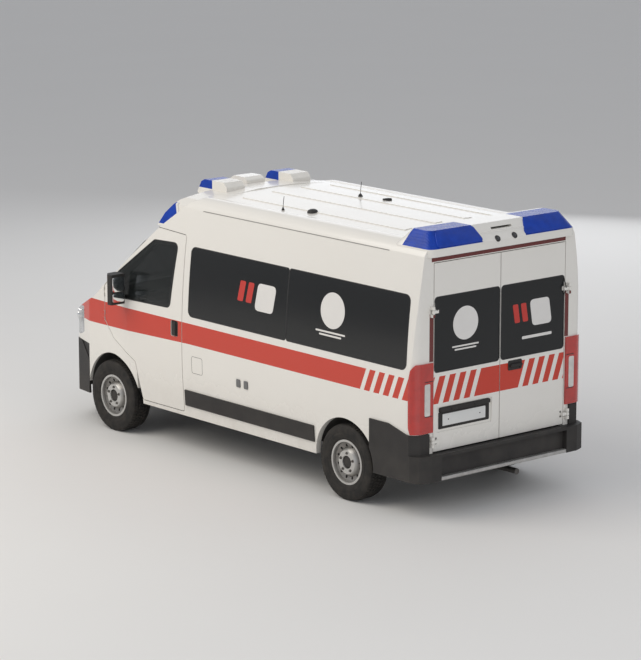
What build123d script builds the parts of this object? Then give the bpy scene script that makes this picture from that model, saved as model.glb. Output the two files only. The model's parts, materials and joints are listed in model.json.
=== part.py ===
from build123d import *
import math
import os

# High-roof panel-van ambulance. Millimetres, +Z up, front towards -Y, the vehicle's left side towards +X.
# The origin is on the ground, in the middle of the length and width.

# Overall sizes
LENGTH = 5413.0
WIDTH = 2050.0
ROOF_Z = 2478.0
WHEELBASE = 3450.0
FRONT_OVERHANG = 948.0
FRONT_TRACK = 1810.0
REAR_TRACK = 1790.0

# Body shell
WALL = 55.0
ROOF_WALL = 45.0
PANEL_GAP = 7.0
SILL_Z = 355.0
SEAM_Z = 2340.0
SILL_HALF_WIDTH = WIDTH / 2 - 33
SEAM_HALF_WIDTH = WIDTH / 2 - 113
BELLY_Z = 1000.0
SHOULDER_HALF_WIDTH = WIDTH / 2 - 305
SHOULDER_Z = 2440.0
REAR_BUMPER_DEPTH = 85.0
NOSE_SWEEP_RADIUS = 3300.0
GLASS = 6.0
GLASS_DEPTH = 1.0
PANE_LAP = 35.0
PANE_CORNER = 60.0
SPLIT_CORNER = 25.0

# Wheels
TYRE_RADIUS = 352.0
TYRE_WIDTH = 225.0
RIM_RADIUS = 196.0
WHEEL_OFFSET = 68.0
HUB_BORE_RADIUS = 38.0
SPINDLE_REACH = 14.0
RUNNING_CLEARANCE = 0.05
SEAT = 0.3
FRONT_ARCH_RADIUS = 425.0
REAR_ARCH_RADIUS = 412.0

# Steering: the axis leans inboard from the ball joint up to the strut's top mount
KING_PIN_LEAN = 15.5
BALL_JOINT_X = 866.0
BALL_JOINT_Z = 215.0
STRUT_TOP_Z = 1010.0

# Places along the length
FRONT_Y = -LENGTH / 2
REAR_Y = LENGTH / 2
FRONT_AXLE_Y = FRONT_Y + FRONT_OVERHANG
REAR_AXLE_Y = FRONT_AXLE_Y + WHEELBASE
DOOR_PLANE_Y = REAR_Y - REAR_BUMPER_DEPTH
AXLE_Z = TYRE_RADIUS

# Reach past the body from any place in it, and a height above it
FAR = LENGTH + WIDTH
SKY = ROOF_Z + 500.0

# Nose, bonnet, windscreen and roof front at the middle: (distance behind the front axle, height).
# The line goes round the nose from an axis that lies NOSE_SWEEP_RADIUS behind NOSE_SWEEP_START.
NOSE_SWEEP_START = -470.0
NOSE_LINE = [(-935, -600), (-935, 780), (-905, 1010), (-800, 1120), (-470, 1290), (505, 2120), (900, 2400),
             (1330, 2540)]

# Rounding of the nose seen from above: (distance in from the side, distance behind the foremost point)
NOSE_PLAN = [(405, 50), (145, 250), (45, 560)]
NOSE_PLAN_END = 1250.0
REAR_CORNER = 90.0

# Cab door and window: outlines as (distance behind the front axle, height)
CAB_DOOR = [(470, 395), (1120, 395), (1120, 2090), (668, 2110), (-125, 1430), (-125, 1090), (30, 930),
            (380, 760)]
CAB_GLASS = [(40, 1352), (930, 1372), (1010, 2000), (640, 1985), (90, 1590)]
CAB_HINGE_Y = -131.0
CAB_HINGE_X = WIDTH / 2 - 25
CAB_EAR_RADIUS = 9.0
SLIDING_DOOR = (1180, 2638, 425, 2262)
CAB_GLASS_CORNER = 65.0
DOOR_CORNER = 30.0
PANE_BOTTOM_Z = 1338.0
PANE_TOP_Z = 1996.0
REAR_DOOR_HALF = WIDTH / 2 - 225
REAR_CUT_DEPTH = 100.0
REAR_EDGE_TAPER = 14.0
REAR_DOOR_BOTTOM_Z = 595.0
REAR_DOOR_TOP_Z = 2275.0
REAR_PANE_BOTTOM_Z = 1303.0
REAR_PANE_TOP_Z = 1969.0
REAR_HINGE_X = REAR_DOOR_HALF + 30
REAR_HINGE_OUT = 30.0
REAR_HINGES_Z = (690, 1850)
REAR_PANE_MARGIN = 12.0
REAR_PANE_CORNER = 30.0
CAB_HINGES_Z = (1130, 1370)
HINGE_PIN = 6.0
EAR_HEIGHT = 28.0
EAR_SPACE = 6.0

# Floor
FLOOR_TOP_Z = 560.0
FLOOR_THICK = 40.0
BULKHEAD_Y = 1165.0
TOE_BOARD = [(-150, 1300), (-125, 1300), (60, 800), (440, 560), (430, 520), (30, 775), (-150, 1262)]
TOE_BOARD_HALF = 540.0
RAIL_BOTTOM_Z = 400.0
RAIL_TOP_Z = FLOOR_TOP_Z - FLOOR_THICK
RAIL_IN = 390.0
RAIL_OUT = 470.0
TOW_SOCKET = (-300.0, 461.0, 12.0)

# Recesses in the doors and the rail behind the sliding door
CAB_GRIP = [(950, 1110), (1060, 1110), (1060, 1262), (950, 1262)]
GRIP_DEPTH = 16.0
PLATE_RECESS = [(95, 760), (755, 760), (755, 985), (95, 985)]
PLATE_DEPTH = 10.0
SLIDE_RAIL_Z = (1284.0, 1304.0)
RAIL_DEPTH = 14.0
RAIL_END = 300.0


def from_front(distance):
    return FRONT_AXLE_Y + distance


def from_rear(distance):
    return REAR_AXLE_Y + distance


# Rear bumper: the recess in its middle and the step bar at the foot of the recess
STEP_HALF = 770.0
STEP_DEPTH = 52.0
STEP_BOTTOM_Z = 345.0
STEP_TOP_Z = 378.0
BUMPER_LIP_Z = 556.0
REAR_BUMPER_FRONT = 353.0
SIDE_TOP_Z = 830.0
DOOR_FOOT_GAP = 12.0

# Dark band along the foot of each side
MOULDING_Z = (465.0, 617.0)

BUMPER_TOP_Z = 800.0
BONNET_LOW_Z = 1015.0

# Grille between the headlamps: right half of its outline, from the foot up, and its slots
GRILLE = [(440, BUMPER_TOP_Z), (470, 985), (430, BONNET_LOW_Z - 6)]
GRILLE_SLOT_HALF = 400.0
GRILLE_SLOT_HEIGHT = 24.0
GRILLE_SLOTS_Z = (828, 868, 908, 948)
LAMP_GAP = 3.0

# Front bumper seen from the side, its slats, the air intake, and the fog lamp as (x, height, radius, depth)
INTAKE = [(-380, 385), (380, 385), (440, 560), (420, 632), (-420, 632), (-440, 560)]
FOG_LAMP = (690.0, 480.0, 50.0, 16.0)
FRONT_BUMPER_SIDE = [(-1100, 240), (-420, 300), (-420, 640), (-640, BUMPER_TOP_Z), (-1100, BUMPER_TOP_Z)]
SLAT_Y = (from_front(-932), from_front(-910))
SLAT_HEIGHT = 20.0
INTAKE_SLATS_Z = (420, 482, 544, 606)
FRONT_PLATE_RECESS = [(-275, 655), (275, 655), (275, 780), (-275, 780)]
BUMPER_PROUD = 12.0

# Raised ribs along the roof
RIB_HEIGHT = 6.0
RIB_WIDTH = 90.0
ROOF_RIBS_X = (-540, -180, 180, 540)
ROOF_RIBS_FRONT = from_front(1500)
ROOF_RIBS_REAR = DOOR_PLANE_Y - 620

# Side panes: front end, rear end, and whether the rear end is the one that meets the next pane
REAR_POST = 112.0
LEFT_FRONT_PANE = (from_front(1213), from_front(2638), True)
LEFT_REAR_PANE = (from_front(2644), DOOR_PLANE_Y - REAR_POST, False)
RIGHT_FRONT_PANE = (from_front(1225), from_front(2596), True)
RIGHT_REAR_PANE = (from_front(2672), DOOR_PLANE_Y - REAR_POST, False)


def face_of(points, radius=0.0):
    if radius:
        return make_face(FilletPolyline(*points, radius=radius, close=True))
    return make_face(Polyline(*points, close=True))


def prism_x(points, x0, x1, radius=0.0):
    """Outline in (y, z), from x0 to x1."""
    return extrude(Plane.YZ.offset(x0) * face_of(points, radius), x1 - x0, dir=(1, 0, 0))


def prism_y(points, y0, y1, radius=0.0):
    """Outline in (x, z), from y0 to y1."""
    return extrude(Plane.XZ.offset(-y1) * face_of(points, radius), y1 - y0, dir=(0, -1, 0))


def prism_z(points, z0, z1, radius=0.0):
    """Outline in (x, y), from z0 to z1."""
    return extrude(Plane.XY.offset(z0) * face_of(points, radius), z1 - z0, dir=(0, 0, 1))


def block(x0, x1, y0, y1, z0, z1):
    return Pos((x0 + x1) / 2, (y0 + y1) / 2, (z0 + z1) / 2) * Box(x1 - x0, y1 - y0, z1 - z0)


def rod_x(x0, x1, y, z, radius):
    return Pos((x0 + x1) / 2, y, z) * Rot(0, 90, 0) * Cylinder(radius, x1 - x0)


def rod_y(y0, y1, x, z, radius):
    return Pos(x, (y0 + y1) / 2, z) * Rot(90, 0, 0) * Cylinder(radius, y1 - y0)


def rod_between(start, end, radius):
    line = Line(start, end)
    return sweep(Plane(origin=start, z_dir=line % 0) * Circle(radius), path=line)


def other_side(shape):
    return mirror(shape, about=Plane.YZ)


def save(name, *pieces):
    solids = []
    for piece in pieces:
        solids.extend(piece.solids())
    shape = solids[0] if len(solids) == 1 else Compound(solids)
    export_step(shape, f"parts/{name}.step")


def rectangle(a0, a1, b0, b1):
    return [(a0, b0), (a1, b0), (a1, b1), (a0, b1)]


def grown(face, grow):
    return offset(face, grow, kind=Kind.INTERSECTION) if grow else face


def along_front(points):
    """A side outline given from the front axle, moved to its place."""
    return [(from_front(y), z) for y, z in points]


def door_line(points, grow=0.0, radius=DOOR_CORNER):
    """The same with rounded corners, grown all round."""
    return grown(face_of(along_front(points), radius), grow)


def side_prism(face, x0, x1):
    return extrude(Plane.YZ.offset(x0) * face, x1 - x0, dir=(1, 0, 0))


def form(inset=0.0, roof_inset=None, open_bottom=False):
    """The outer shape of the body, or the same shape moved inwards by the inset."""
    roof_inset = inset if roof_inset is None else roof_inset
    bottom = SILL_Z - 400 if open_bottom else SILL_Z
    side = WIDTH / 2
    low = (SILL_HALF_WIDTH - inset, SILL_Z)
    high = (SEAM_HALF_WIDTH - inset, SEAM_Z)
    shoulder = (SHOULDER_HALF_WIDTH - inset, SHOULDER_Z - roof_inset)
    bend = ((high[0] + shoulder[0]) / 2 + 34, (high[1] + shoulder[1]) / 2 + 30)
    right = [
        ThreePointArc(low, (side - inset, BELLY_Z), high),
        ThreePointArc(high, bend, shoulder),
        ThreePointArc(shoulder, (0, ROOF_Z - roof_inset), (-shoulder[0], shoulder[1])),
        ThreePointArc((-shoulder[0], shoulder[1]), (-bend[0], bend[1]), (-high[0], high[1])),
        ThreePointArc((-high[0], high[1]), (-side + inset, BELLY_Z), (-low[0], low[1])),
        Polyline((-low[0], low[1]), (-low[0], bottom), (low[0], bottom), low) if open_bottom
        else Line((-low[0], low[1]), low),
    ]
    section = make_face(Curve() + right)
    rear = DOOR_PLANE_Y - inset
    body = extrude(Plane.XZ.offset(-rear) * section, rear - FRONT_Y + 100, dir=(0, -1, 0))
    # Nose, bonnet, windscreen and roof front, swept about a vertical axis behind the cab
    reach = NOSE_SWEEP_RADIUS + NOSE_SWEEP_START
    axis_y = from_front(reach)
    low_z, high_z = NOSE_LINE[0][1], NOSE_LINE[-1][1]
    shape = face_of([(y - reach, z) for y, z in NOSE_LINE + [(reach, high_z), (reach, low_z)]])
    if inset < 0:
        shape = grown(shape, -inset) & face_of(rectangle(-FAR, 0, low_z - 100, SKY))
    if inset > 0:
        core = face_of(rectangle(-inset - 1, 0, low_z + inset, high_z - inset))
        shape = grown(shape, -inset) + core
    turned = Pos(0, axis_y, 0) * revolve(Plane.XZ * shape, Axis.Z, 360)
    body = body & (turned + block(-FAR, FAR, axis_y, FAR, low_z, SKY))
    # Rounded corners seen from above
    half = WIDTH / 2 - inset + 1
    front = FRONT_Y - 20 + inset
    corner = REAR_CORNER - min(inset, 60)
    plan = [(WIDTH / 2 - x, front + y) for x, y in NOSE_PLAN]
    plan += [(half, front + NOSE_PLAN_END), (half, rear + FAR)]
    plan = [(0, front)] + plan + [(-x, y) for x, y in reversed(plan)]
    body = body & prism_z(plan, -200, SKY)
    middle = (REAR_Y + FRONT_Y) / 2
    rear_round = FilletPolyline((half, middle), (half, rear), (-half, rear), (-half, middle), radius=corner)
    ahead = Polyline((-half, middle), (-half, -FAR), (half, -FAR), (half, middle))
    cut = make_face(Curve() + [rear_round, ahead])
    return body & extrude(Plane.XY.offset(-200) * cut, SKY + 200, dir=(0, 0, 1))


# The hollow shell that all outer panels are cut from
os.makedirs("parts", exist_ok=True)
OUTER = form()
INNER = form(WALL, ROOF_WALL, True)
LINING = form(WALL + SEAT, ROOF_WALL + SEAT, True)
SHELL = OUTER - INNER
GLASS_SKIN = form(GLASS_DEPTH) - form(GLASS_DEPTH + GLASS)
BEHIND_GLASS = form(GLASS_DEPTH + GLASS + SEAT)
TRIM_SKIN = form(-14, 0, True) - OUTER

CAB_DOOR_IN = WIDTH / 2 - 245
CAB_DOOR_HOLE = side_prism(door_line(CAB_DOOR, PANEL_GAP / 2), CAB_DOOR_IN, FAR)
CAB_DOOR_BODY = side_prism(door_line(CAB_DOOR, -PANEL_GAP / 2), CAB_DOOR_IN, FAR)
CAB_GLASS_PRISM = side_prism(door_line(CAB_GLASS, 0, CAB_GLASS_CORNER), CAB_DOOR_IN, FAR)
CAB_GLASS_HOLE = side_prism(door_line(CAB_GLASS, -PANE_LAP, CAB_GLASS_CORNER), CAB_DOOR_IN, FAR)
FRONT_HOUSING_IN = 560.0
REAR_HOUSING_IN = 640.0
FRONT_ARCH = rod_x(FRONT_HOUSING_IN, FAR, FRONT_AXLE_Y, AXLE_Z, FRONT_ARCH_RADIUS)
REAR_ARCH = rod_x(REAR_HOUSING_IN, FAR, REAR_AXLE_Y, AXLE_Z, REAR_ARCH_RADIUS)
PANEL_SPLIT_Y = from_front(1150)
WINDSCREEN = [(-850, 1335), (850, 1335), (800, 2065), (-800, 2065)]
CABIN_IN = 500.0
BONNET_HALF = 716.0
BONNET_FRONT = from_front(-932)
BONNET_REAR = -478.0
BONNET_HINGE = (560.0, -430.0, 1281.0)
BONNET_GAP = 10.0
WING_TOP_Z = 1440.0
NOSE_REAR = from_front(-640)
LAMP_OUTLINE = [(450, 815), (900, 850), (985, 985), (975, 1150), (800, 1130), (480, 985)]
LAMP_REAR = from_front(-560)


def windscreen_prism(lap=0.0):
    outline = grown(face_of(WINDSCREEN, PANE_CORNER), -lap)
    return extrude(Plane.XZ.offset(-from_front(700)) * outline, 1400, dir=(0, -1, 0))


def pane_prism(pane, side, lap=0.0):
    """Outline of a side pane, whose corners are tighter where it meets the next pane."""
    start, end, split_at_rear = pane
    y0, y1, z0, z1 = start + lap, end - lap, PANE_BOTTOM_Z + lap, PANE_TOP_Z - lap
    middle = (y0 + y1) / 2
    split = rectangle(middle, y1, z0, z1) if split_at_rear else rectangle(y0, middle, z0, z1)
    x = sorted((side * CABIN_IN, side * FAR))
    return prism_x(rectangle(y0, y1, z0, z1), *x, PANE_CORNER) + prism_x(split, *x, SPLIT_CORNER)


def glazed(panel, pane, hole):
    """A panel with a seat for a bonded pane and the opening behind it."""
    return panel - (pane - BEHIND_GLASS) - hole


def sliding_prism(grow, x0, x1):
    y0, y1, z0, z1 = SLIDING_DOOR
    outline = rectangle(from_front(y0) - grow, from_front(y1) + grow, z0 - grow, z1 + grow)
    return prism_x(outline, x0, x1, 60)


def lamp_prism(grow, side):
    outline = offset(face_of([(side * x, z) for x, z in LAMP_OUTLINE], 40), grow) if grow else face_of(
        [(side * x, z) for x, z in LAMP_OUTLINE], 40)
    return extrude(Plane.XZ.offset(-LAMP_REAR) * outline, 700, dir=(0, -1, 0))


# Tail lamps: inner edge, and the outline seen from the side as (distance behind the door plane, height)
TAIL_LAMP_IN = REAR_DOOR_HALF + 12.0
TAIL_LAMP = [(-48, 775), (60, 775), (60, 1402), (-10, 1398), (-48, 1350), (-68, 1255), (-68, 830)]
LAMP_DEPTH = 30.0


def tail_prism(side):
    x = sorted((side * TAIL_LAMP_IN, side * FAR))
    return prism_x([(DOOR_PLANE_Y + y, z) for y, z in TAIL_LAMP], *x)


def tail_lamp_seat(side):
    return tail_prism(side) & (form(-20, 0, True) - form(LAMP_DEPTH, LAMP_DEPTH, True))


def rod_z(x, y, z0, z1, radius):
    return Pos(x, y, (z0 + z1) / 2) * Cylinder(radius, z1 - z0)


def ear_spans(z):
    """Heights of the door's ear and of the two fixed ears around it."""
    half = EAR_HEIGHT / 2
    return (z - half, z + half), [(z - 3 * half - EAR_SPACE, z - half - EAR_SPACE),
                                  (z + half + EAR_SPACE, z + 3 * half + EAR_SPACE)]


STRAP_REACH = 62.0


def strap_room(side):
    """Where the hinge straps meet the door, which the pane leaves free."""
    x = sorted((side * (REAR_HINGE_X - STRAP_REACH - 4), side * REAR_HINGE_X))
    reach = EAR_HEIGHT / 2 + 4
    return [block(*x, DOOR_PLANE_Y - REAR_CUT_DEPTH, REAR_Y, z - reach, z + reach) for z in REAR_HINGES_Z]


def rear_door_ears():
    """Straps on a left rear door that carry it on its pins."""
    y = DOOR_PLANE_Y + REAR_HINGE_OUT
    ears = []
    for z in REAR_HINGES_Z:
        low, high = ear_spans(z)[0]
        strap = block(REAR_HINGE_X - STRAP_REACH, REAR_HINGE_X - 34, DOOR_PLANE_Y - 20, y, low, high)
        strap += block(REAR_HINGE_X - STRAP_REACH, REAR_HINGE_X, y - 12, y, low, high)
        strap += rod_z(REAR_HINGE_X, y, low, high, 14)
        ears.append(strap - rod_z(REAR_HINGE_X, y, low - 1, high + 1, HINGE_PIN + RUNNING_CLEARANCE))
    return ears


def rear_post_ears():
    """Fixed ears and pins on the left rear post."""
    y = DOOR_PLANE_Y + REAR_HINGE_OUT
    ears = []
    for z in REAR_HINGES_Z:
        spans = ear_spans(z)[1]
        ears.append(rod_z(REAR_HINGE_X, y, spans[0][0], spans[1][1], HINGE_PIN))
        for low, high in spans:
            ears.append(rod_z(REAR_HINGE_X, y, low, high, 14))
            ears.append(block(REAR_HINGE_X - 14, REAR_HINGE_X + 14, DOOR_PLANE_Y - 5, y, low, high))
    return ears


def cab_ears(direction, spans):
    """Ears round the left cab door's pin, reaching forwards (-1) or rearwards (1) into the panel."""
    y = from_front(CAB_HINGE_Y)
    ears = []
    for low, high in spans:
        ears.append(rod_z(CAB_HINGE_X, y, low, high, CAB_EAR_RADIUS))
        reach = sorted((y, y + direction * 40))
        ears.append(block(CAB_HINGE_X - 30, CAB_HINGE_X - 2, reach[0], reach[1], low, high))
    return ears


def cab_notches(spans):
    y = from_front(CAB_HINGE_Y)
    x = (CAB_HINGE_X - 38, CAB_HINGE_X + 20)
    return [rod_z(CAB_HINGE_X, y, low - 5, high + 5, CAB_EAR_RADIUS + 6) +
            block(*x, y - 15, y + 15, low - 5, high + 5) for low, high in spans]


def cab_door_with_ears(door):
    y = from_front(CAB_HINGE_Y)
    for z in CAB_HINGES_Z:
        own, fixed = ear_spans(z)
        for notch in cab_notches(fixed):
            door -= notch
        for ear in cab_ears(1, [own]):
            door += ear
        door -= rod_z(CAB_HINGE_X, y, own[0] - 1, own[1] + 1, HINGE_PIN + RUNNING_CLEARANCE)
    return door


def wing_with_ears(wing):
    y = from_front(CAB_HINGE_Y)
    for z in CAB_HINGES_Z:
        own, fixed = ear_spans(z)
        for notch in cab_notches([own]):
            wing -= notch
        for ear in cab_ears(-1, fixed):
            wing += ear
        wing += rod_z(CAB_HINGE_X, y, fixed[0][0], fixed[1][1], HINGE_PIN)
    return wing


def door_opening():
    half = REAR_DOOR_HALF + PANEL_GAP / 2
    return block(-half, half, DOOR_PLANE_Y - REAR_CUT_DEPTH, REAR_Y, 0, SKY)


def side_panel_left():
    panel = SHELL & block(0, FAR, PANEL_SPLIT_Y, REAR_Y, 0, SEAM_Z)
    panel = panel - door_opening() - REAR_ARCH - tail_lamp_seat(1)
    for pane in (LEFT_FRONT_PANE, LEFT_REAR_PANE):
        panel = glazed(panel, pane_prism(pane, 1), pane_prism(pane, 1, PANE_LAP))
    return panel + rear_post_ears()


def side_panel_right():
    panel = SHELL & block(-FAR, 0, PANEL_SPLIT_Y, REAR_Y, 0, SEAM_Z)
    panel = panel - door_opening() - other_side(REAR_ARCH) - tail_lamp_seat(-1)
    panel -= sliding_prism(PANEL_GAP / 2, -FAR, -CABIN_IN)
    panel = glazed(panel, pane_prism(RIGHT_REAR_PANE, -1), pane_prism(RIGHT_REAR_PANE, -1, PANE_LAP))
    rail = block(-FAR, 0, from_front(SLIDING_DOOR[1]), DOOR_PLANE_Y - RAIL_END, *SLIDE_RAIL_Z)
    return panel - (rail - form(RAIL_DEPTH)) + [other_side(ear) for ear in rear_post_ears()]


def sliding_door():
    door = SHELL & sliding_prism(-PANEL_GAP / 2, -FAR, -CABIN_IN)
    return glazed(door, pane_prism(RIGHT_FRONT_PANE, -1), pane_prism(RIGHT_FRONT_PANE, -1, PANE_LAP))


def roof_panel():
    roof = SHELL & block(-FAR, FAR, -FAR, FAR, SEAM_Z, SKY)
    half = REAR_DOOR_HALF + PANEL_GAP / 2
    header = SHELL & block(-half, half, DOOR_PLANE_Y - REAR_CUT_DEPTH, REAR_Y,
                           REAR_DOOR_TOP_Z + PANEL_GAP / 2, SEAM_Z)
    raised = form(-RIB_HEIGHT, -RIB_HEIGHT, True) - OUTER
    reach = RIB_WIDTH / 2
    ribs = [raised & block(x - reach, x + reach, ROOF_RIBS_FRONT, ROOF_RIBS_REAR, SEAM_Z, SKY)
            for x in ROOF_RIBS_X]
    return roof + header + ribs


def rear_door(side):
    gap = PANEL_GAP / 2
    x = sorted((side * gap, side * (REAR_DOOR_HALF - gap)))
    door = SHELL & block(*x, DOOR_PLANE_Y - REAR_CUT_DEPTH, REAR_Y, REAR_DOOR_BOTTOM_Z, REAR_DOOR_TOP_Z - gap)
    inside, outside = DOOR_PLANE_Y - REAR_CUT_DEPTH, DOOR_PLANE_Y + 1
    edge = [(0, inside), (side * REAR_EDGE_TAPER, inside), (side * gap, outside), (0, outside)]
    door = glazed(door - prism_z(edge, 0, SKY), rear_pane_prism(side), rear_pane_prism(side, PANE_LAP))
    if side > 0:
        door -= prism_y(PLATE_RECESS, DOOR_PLANE_Y - PLATE_DEPTH, REAR_Y, 12)
    ears = rear_door_ears() if side > 0 else [other_side(ear) for ear in rear_door_ears()]
    return door + ears


def rear_pane_prism(side, lap=0.0):
    """Outline of a rear door's pane; the pane itself leaves room for the hinge straps."""
    margin = REAR_PANE_MARGIN + lap
    x = sorted((side * margin, side * (REAR_DOOR_HALF - margin)))
    outline = rectangle(*x, REAR_PANE_BOTTOM_Z + lap, REAR_PANE_TOP_Z - lap)
    return prism_y(outline, DOOR_PLANE_Y - REAR_CUT_DEPTH, REAR_Y, REAR_PANE_CORNER) - strap_room(side)


def cab_door():
    door = glazed(SHELL & CAB_DOOR_BODY, CAB_GLASS_PRISM, CAB_GLASS_HOLE)
    grip = prism_x(along_front(CAB_GRIP), CAB_DOOR_IN, FAR, 20) - form(GRIP_DEPTH)
    return cab_door_with_ears(door - grip)


def bonnet_block(grow):
    """The space of the bonnet; its rear edge follows the sweep of the nose."""
    ahead = NOSE_SWEEP_RADIUS + NOSE_SWEEP_START
    sweep = Pos(0, from_front(ahead), 0) * Cylinder(ahead - BONNET_REAR - grow, 2 * SKY)
    return block(-BONNET_HALF - grow, BONNET_HALF + grow, BONNET_FRONT - 60, from_front(-350),
                 BONNET_LOW_Z - grow, 1500) - sweep


def bonnet_pins(side, outer_radius):
    x, y, z = BONNET_HINGE
    x = side * x
    return rod_x(x - 22, x + 22, from_front(y), z, outer_radius)


def bonnet():
    lid = (OUTER - form(28, 28, True)) & bonnet_block(0)
    lid = lid - lamp_prism(8, 1) - lamp_prism(8, -1)
    x, y, z = BONNET_HINGE
    for side in (1, -1):
        for offset_x in (-40, 40):
            x0 = side * x + offset_x
            lid -= block(x0 - 24, x0 + 24, from_front(y) - 14, from_front(y) + 60, z - 60, z + 60)
        lid += bonnet_pins(side, 7)
        leaf = block(side * x - 22, side * x + 22, from_front(y) - 40, from_front(y), z - 7, z - 1)
        lid += leaf & form(1, 1)
        lid -= bonnet_pins(side, 4 + RUNNING_CLEARANCE)
    return lid


def bonnet_hinge_ears():
    """Fixed ears and pins on the cowl, one pair for each side's hinge."""
    x, y, z = BONNET_HINGE
    ears = []
    for side in (1, -1):
        ears.append(rod_x(side * x - 60, side * x + 60, from_front(y), z, 4))
        for offset_x in (-45, 45):
            x0 = side * x + offset_x
            ears.append(rod_x(x0 - 15, x0 + 15, from_front(y), z, 7))
            ears.append(block(x0 - 15, x0 + 15, from_front(y), from_front(y) + 45, z - 12, z - 1))
    return ears


def front_wing():
    wing = SHELL & block(BONNET_HALF + 8, FAR, NOSE_REAR - 160, from_front(400), 0, WING_TOP_Z)
    wing -= block(0, FAR, -FAR, from_front(-419), 0, BUMPER_TOP_Z)
    sill, door_front = CAB_DOOR[0], CAB_DOOR[4]
    behind = [(door_front[0], SKY)] + CAB_DOOR[4:] + [sill, (sill[0], 0), (FAR, 0), (FAR, SKY)]
    wing -= prism_x(along_front(behind), CABIN_IN, FAR)
    return wing_with_ears(wing - CAB_DOOR_HOLE - windscreen_prism() - FRONT_ARCH - lamp_prism(LAMP_GAP, 1))


def cab_frame():
    frame = SHELL & block(-FAR, FAR, from_front(-640), PANEL_SPLIT_Y, 0, SEAM_Z)
    frame = glazed(frame, windscreen_prism(), windscreen_prism(PANE_LAP))
    frame -= bonnet_block(BONNET_GAP)
    for tool in (CAB_DOOR_HOLE, FRONT_ARCH):
        frame -= tool
        frame -= other_side(tool)
    wing = block(BONNET_HALF, FAR, from_front(-700), from_front(CAB_DOOR[0][0]), 0, WING_TOP_Z)
    frame -= wing - CAB_DOOR_HOLE
    frame -= other_side(wing - CAB_DOOR_HOLE)
    frame -= block(-FAR, FAR, -FAR, from_front(-300), 0, BONNET_LOW_Z)
    x, y, z = BONNET_HINGE
    for side in (1, -1):
        frame -= rod_x(side * x - 28, side * x + 28, from_front(y), z, 18)
    return frame + bonnet_hinge_ears()


def nose_prism(points, radius=0.0):
    """Outline in (x, z) through the front of the nose."""
    return prism_y(points, FRONT_Y - 100, from_front(-700), radius)


def front_bumper():
    bar = form(-BUMPER_PROUD, 0, True) - form(36, 36, True)
    bar = bar & prism_x(along_front(FRONT_BUMPER_SIDE), -FAR, FAR)
    bar -= rod_x(-FAR, FAR, FRONT_AXLE_Y, AXLE_Z, FRONT_ARCH_RADIUS)
    bar -= nose_prism(FRONT_PLATE_RECESS, 14) - form(-BUMPER_PROUD / 2, 0, True)
    for side in (1, -1):
        x, z, radius, depth = FOG_LAMP
        bar -= rod_y(-FAR, from_front(-500), side * x, z, radius) - form(depth)
    slats = [block(-FAR, FAR, *SLAT_Y, z, z + SLAT_HEIGHT) & nose_prism(INTAKE) for z in INTAKE_SLATS_Z]
    return bar - nose_prism(INTAKE, 30) + slats


def grille():
    outline = GRILLE + [(-x, z) for x, z in reversed(GRILLE)]
    plate = (form(-2, 0, True) - form(26, 26, True)) & nose_prism(outline)
    slots = [nose_prism(rectangle(-GRILLE_SLOT_HALF, GRILLE_SLOT_HALF, z, z + GRILLE_SLOT_HEIGHT))
             for z in GRILLE_SLOTS_Z]
    return plate - slots - lamp_prism(LAMP_GAP, 1) - lamp_prism(LAMP_GAP, -1)


def headlamps():
    skin = form(1, 1, True) - form(70, 70, True)
    return [skin & lamp_prism(0, side) for side in (1, -1)]


def rear_bumper():
    front, inside, half = from_rear(REAR_BUMPER_FRONT), DOOR_PLANE_Y - WALL - 5, WIDTH / 2 + 11
    low_top, corner_top = REAR_DOOR_BOTTOM_Z - DOOR_FOOT_GAP, TAIL_LAMP[0][1] - 7
    side_in, corner_in = WIDTH / 2 - 125, REAR_DOOR_HALF + 60
    right_half = [(side_in, inside), (side_in, front), (half, front), (half, REAR_Y - 130),
                  (half - 36, REAR_Y - 40), (side_in, REAR_Y)]
    low = prism_z(right_half + [(-x, y) for x, y in reversed(right_half)], STEP_BOTTOM_Z, low_top)
    low -= block(-STEP_HALF, STEP_HALF, REAR_Y - STEP_DEPTH, FAR, 0, BUMPER_LIP_Z)
    corner = prism_z([(half, front), (half, inside), (half - 76, DOOR_PLANE_Y + 14),
                      (corner_in, DOOR_PLANE_Y + 22), (corner_in, front)], low_top, corner_top)
    corner += prism_x([(front, corner_top), (front, SIDE_TOP_Z), (DOOR_PLANE_Y - 330, SIDE_TOP_Z),
                       (DOOR_PLANE_Y - 100, corner_top)], side_in, half)
    bar = low + corner + other_side(corner)
    return bar - OUTER - REAR_ARCH - other_side(REAR_ARCH)


def rear_step():
    """The bar under the doors, held in the middle recess of the bumper."""
    step = block(SEAT - STEP_HALF, STEP_HALF - SEAT, REAR_Y - STEP_DEPTH + SEAT, REAR_Y - 4,
                 STEP_BOTTOM_Z, STEP_TOP_Z)
    return fillet(step.edges().filter_by(Axis.X).group_by(Axis.Y)[-1], 8)


def tail_lamps():
    skin = form(-14, 0, True) - form(LAMP_DEPTH, LAMP_DEPTH, True)
    return [skin & tail_prism(side) for side in (1, -1)]


def side_mouldings():
    band = TRIM_SKIN & block(0, FAR, PANEL_SPLIT_Y + 4, from_rear(-REAR_ARCH_RADIUS - 6), *MOULDING_Z)
    return [band, other_side(band)]


def swept(points, grow=0.0):
    """A side outline swept about the nose's own axis; columns: distance behind the front axle, height."""
    ahead = NOSE_SWEEP_RADIUS + NOSE_SWEEP_START
    outline = grown(face_of([(y - ahead, z) for y, z in points]), grow)
    return Pos(0, from_front(ahead), 0) * revolve(Plane.XZ * outline, Axis.Z, 360)


# Front roof fairing seen from the side as (distance behind the front axle, height) and from the front
FRONT_HOOD_SIDE = [(440, 2118), (540, 2250), (700, 2385), (860, 2448), (1010, 2476), (1320, 2484),
                   (1320, 2300), (600, 2100), (505, 2118)]
FRONT_HOOD_FRONT = [(WIDTH / 2 - x, z) for x, z in [(107, 2118), (137, 2345), (225, 2408), (465, 2456)]]
FRONT_HOOD_FRONT += [(160, 2490)]
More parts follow.
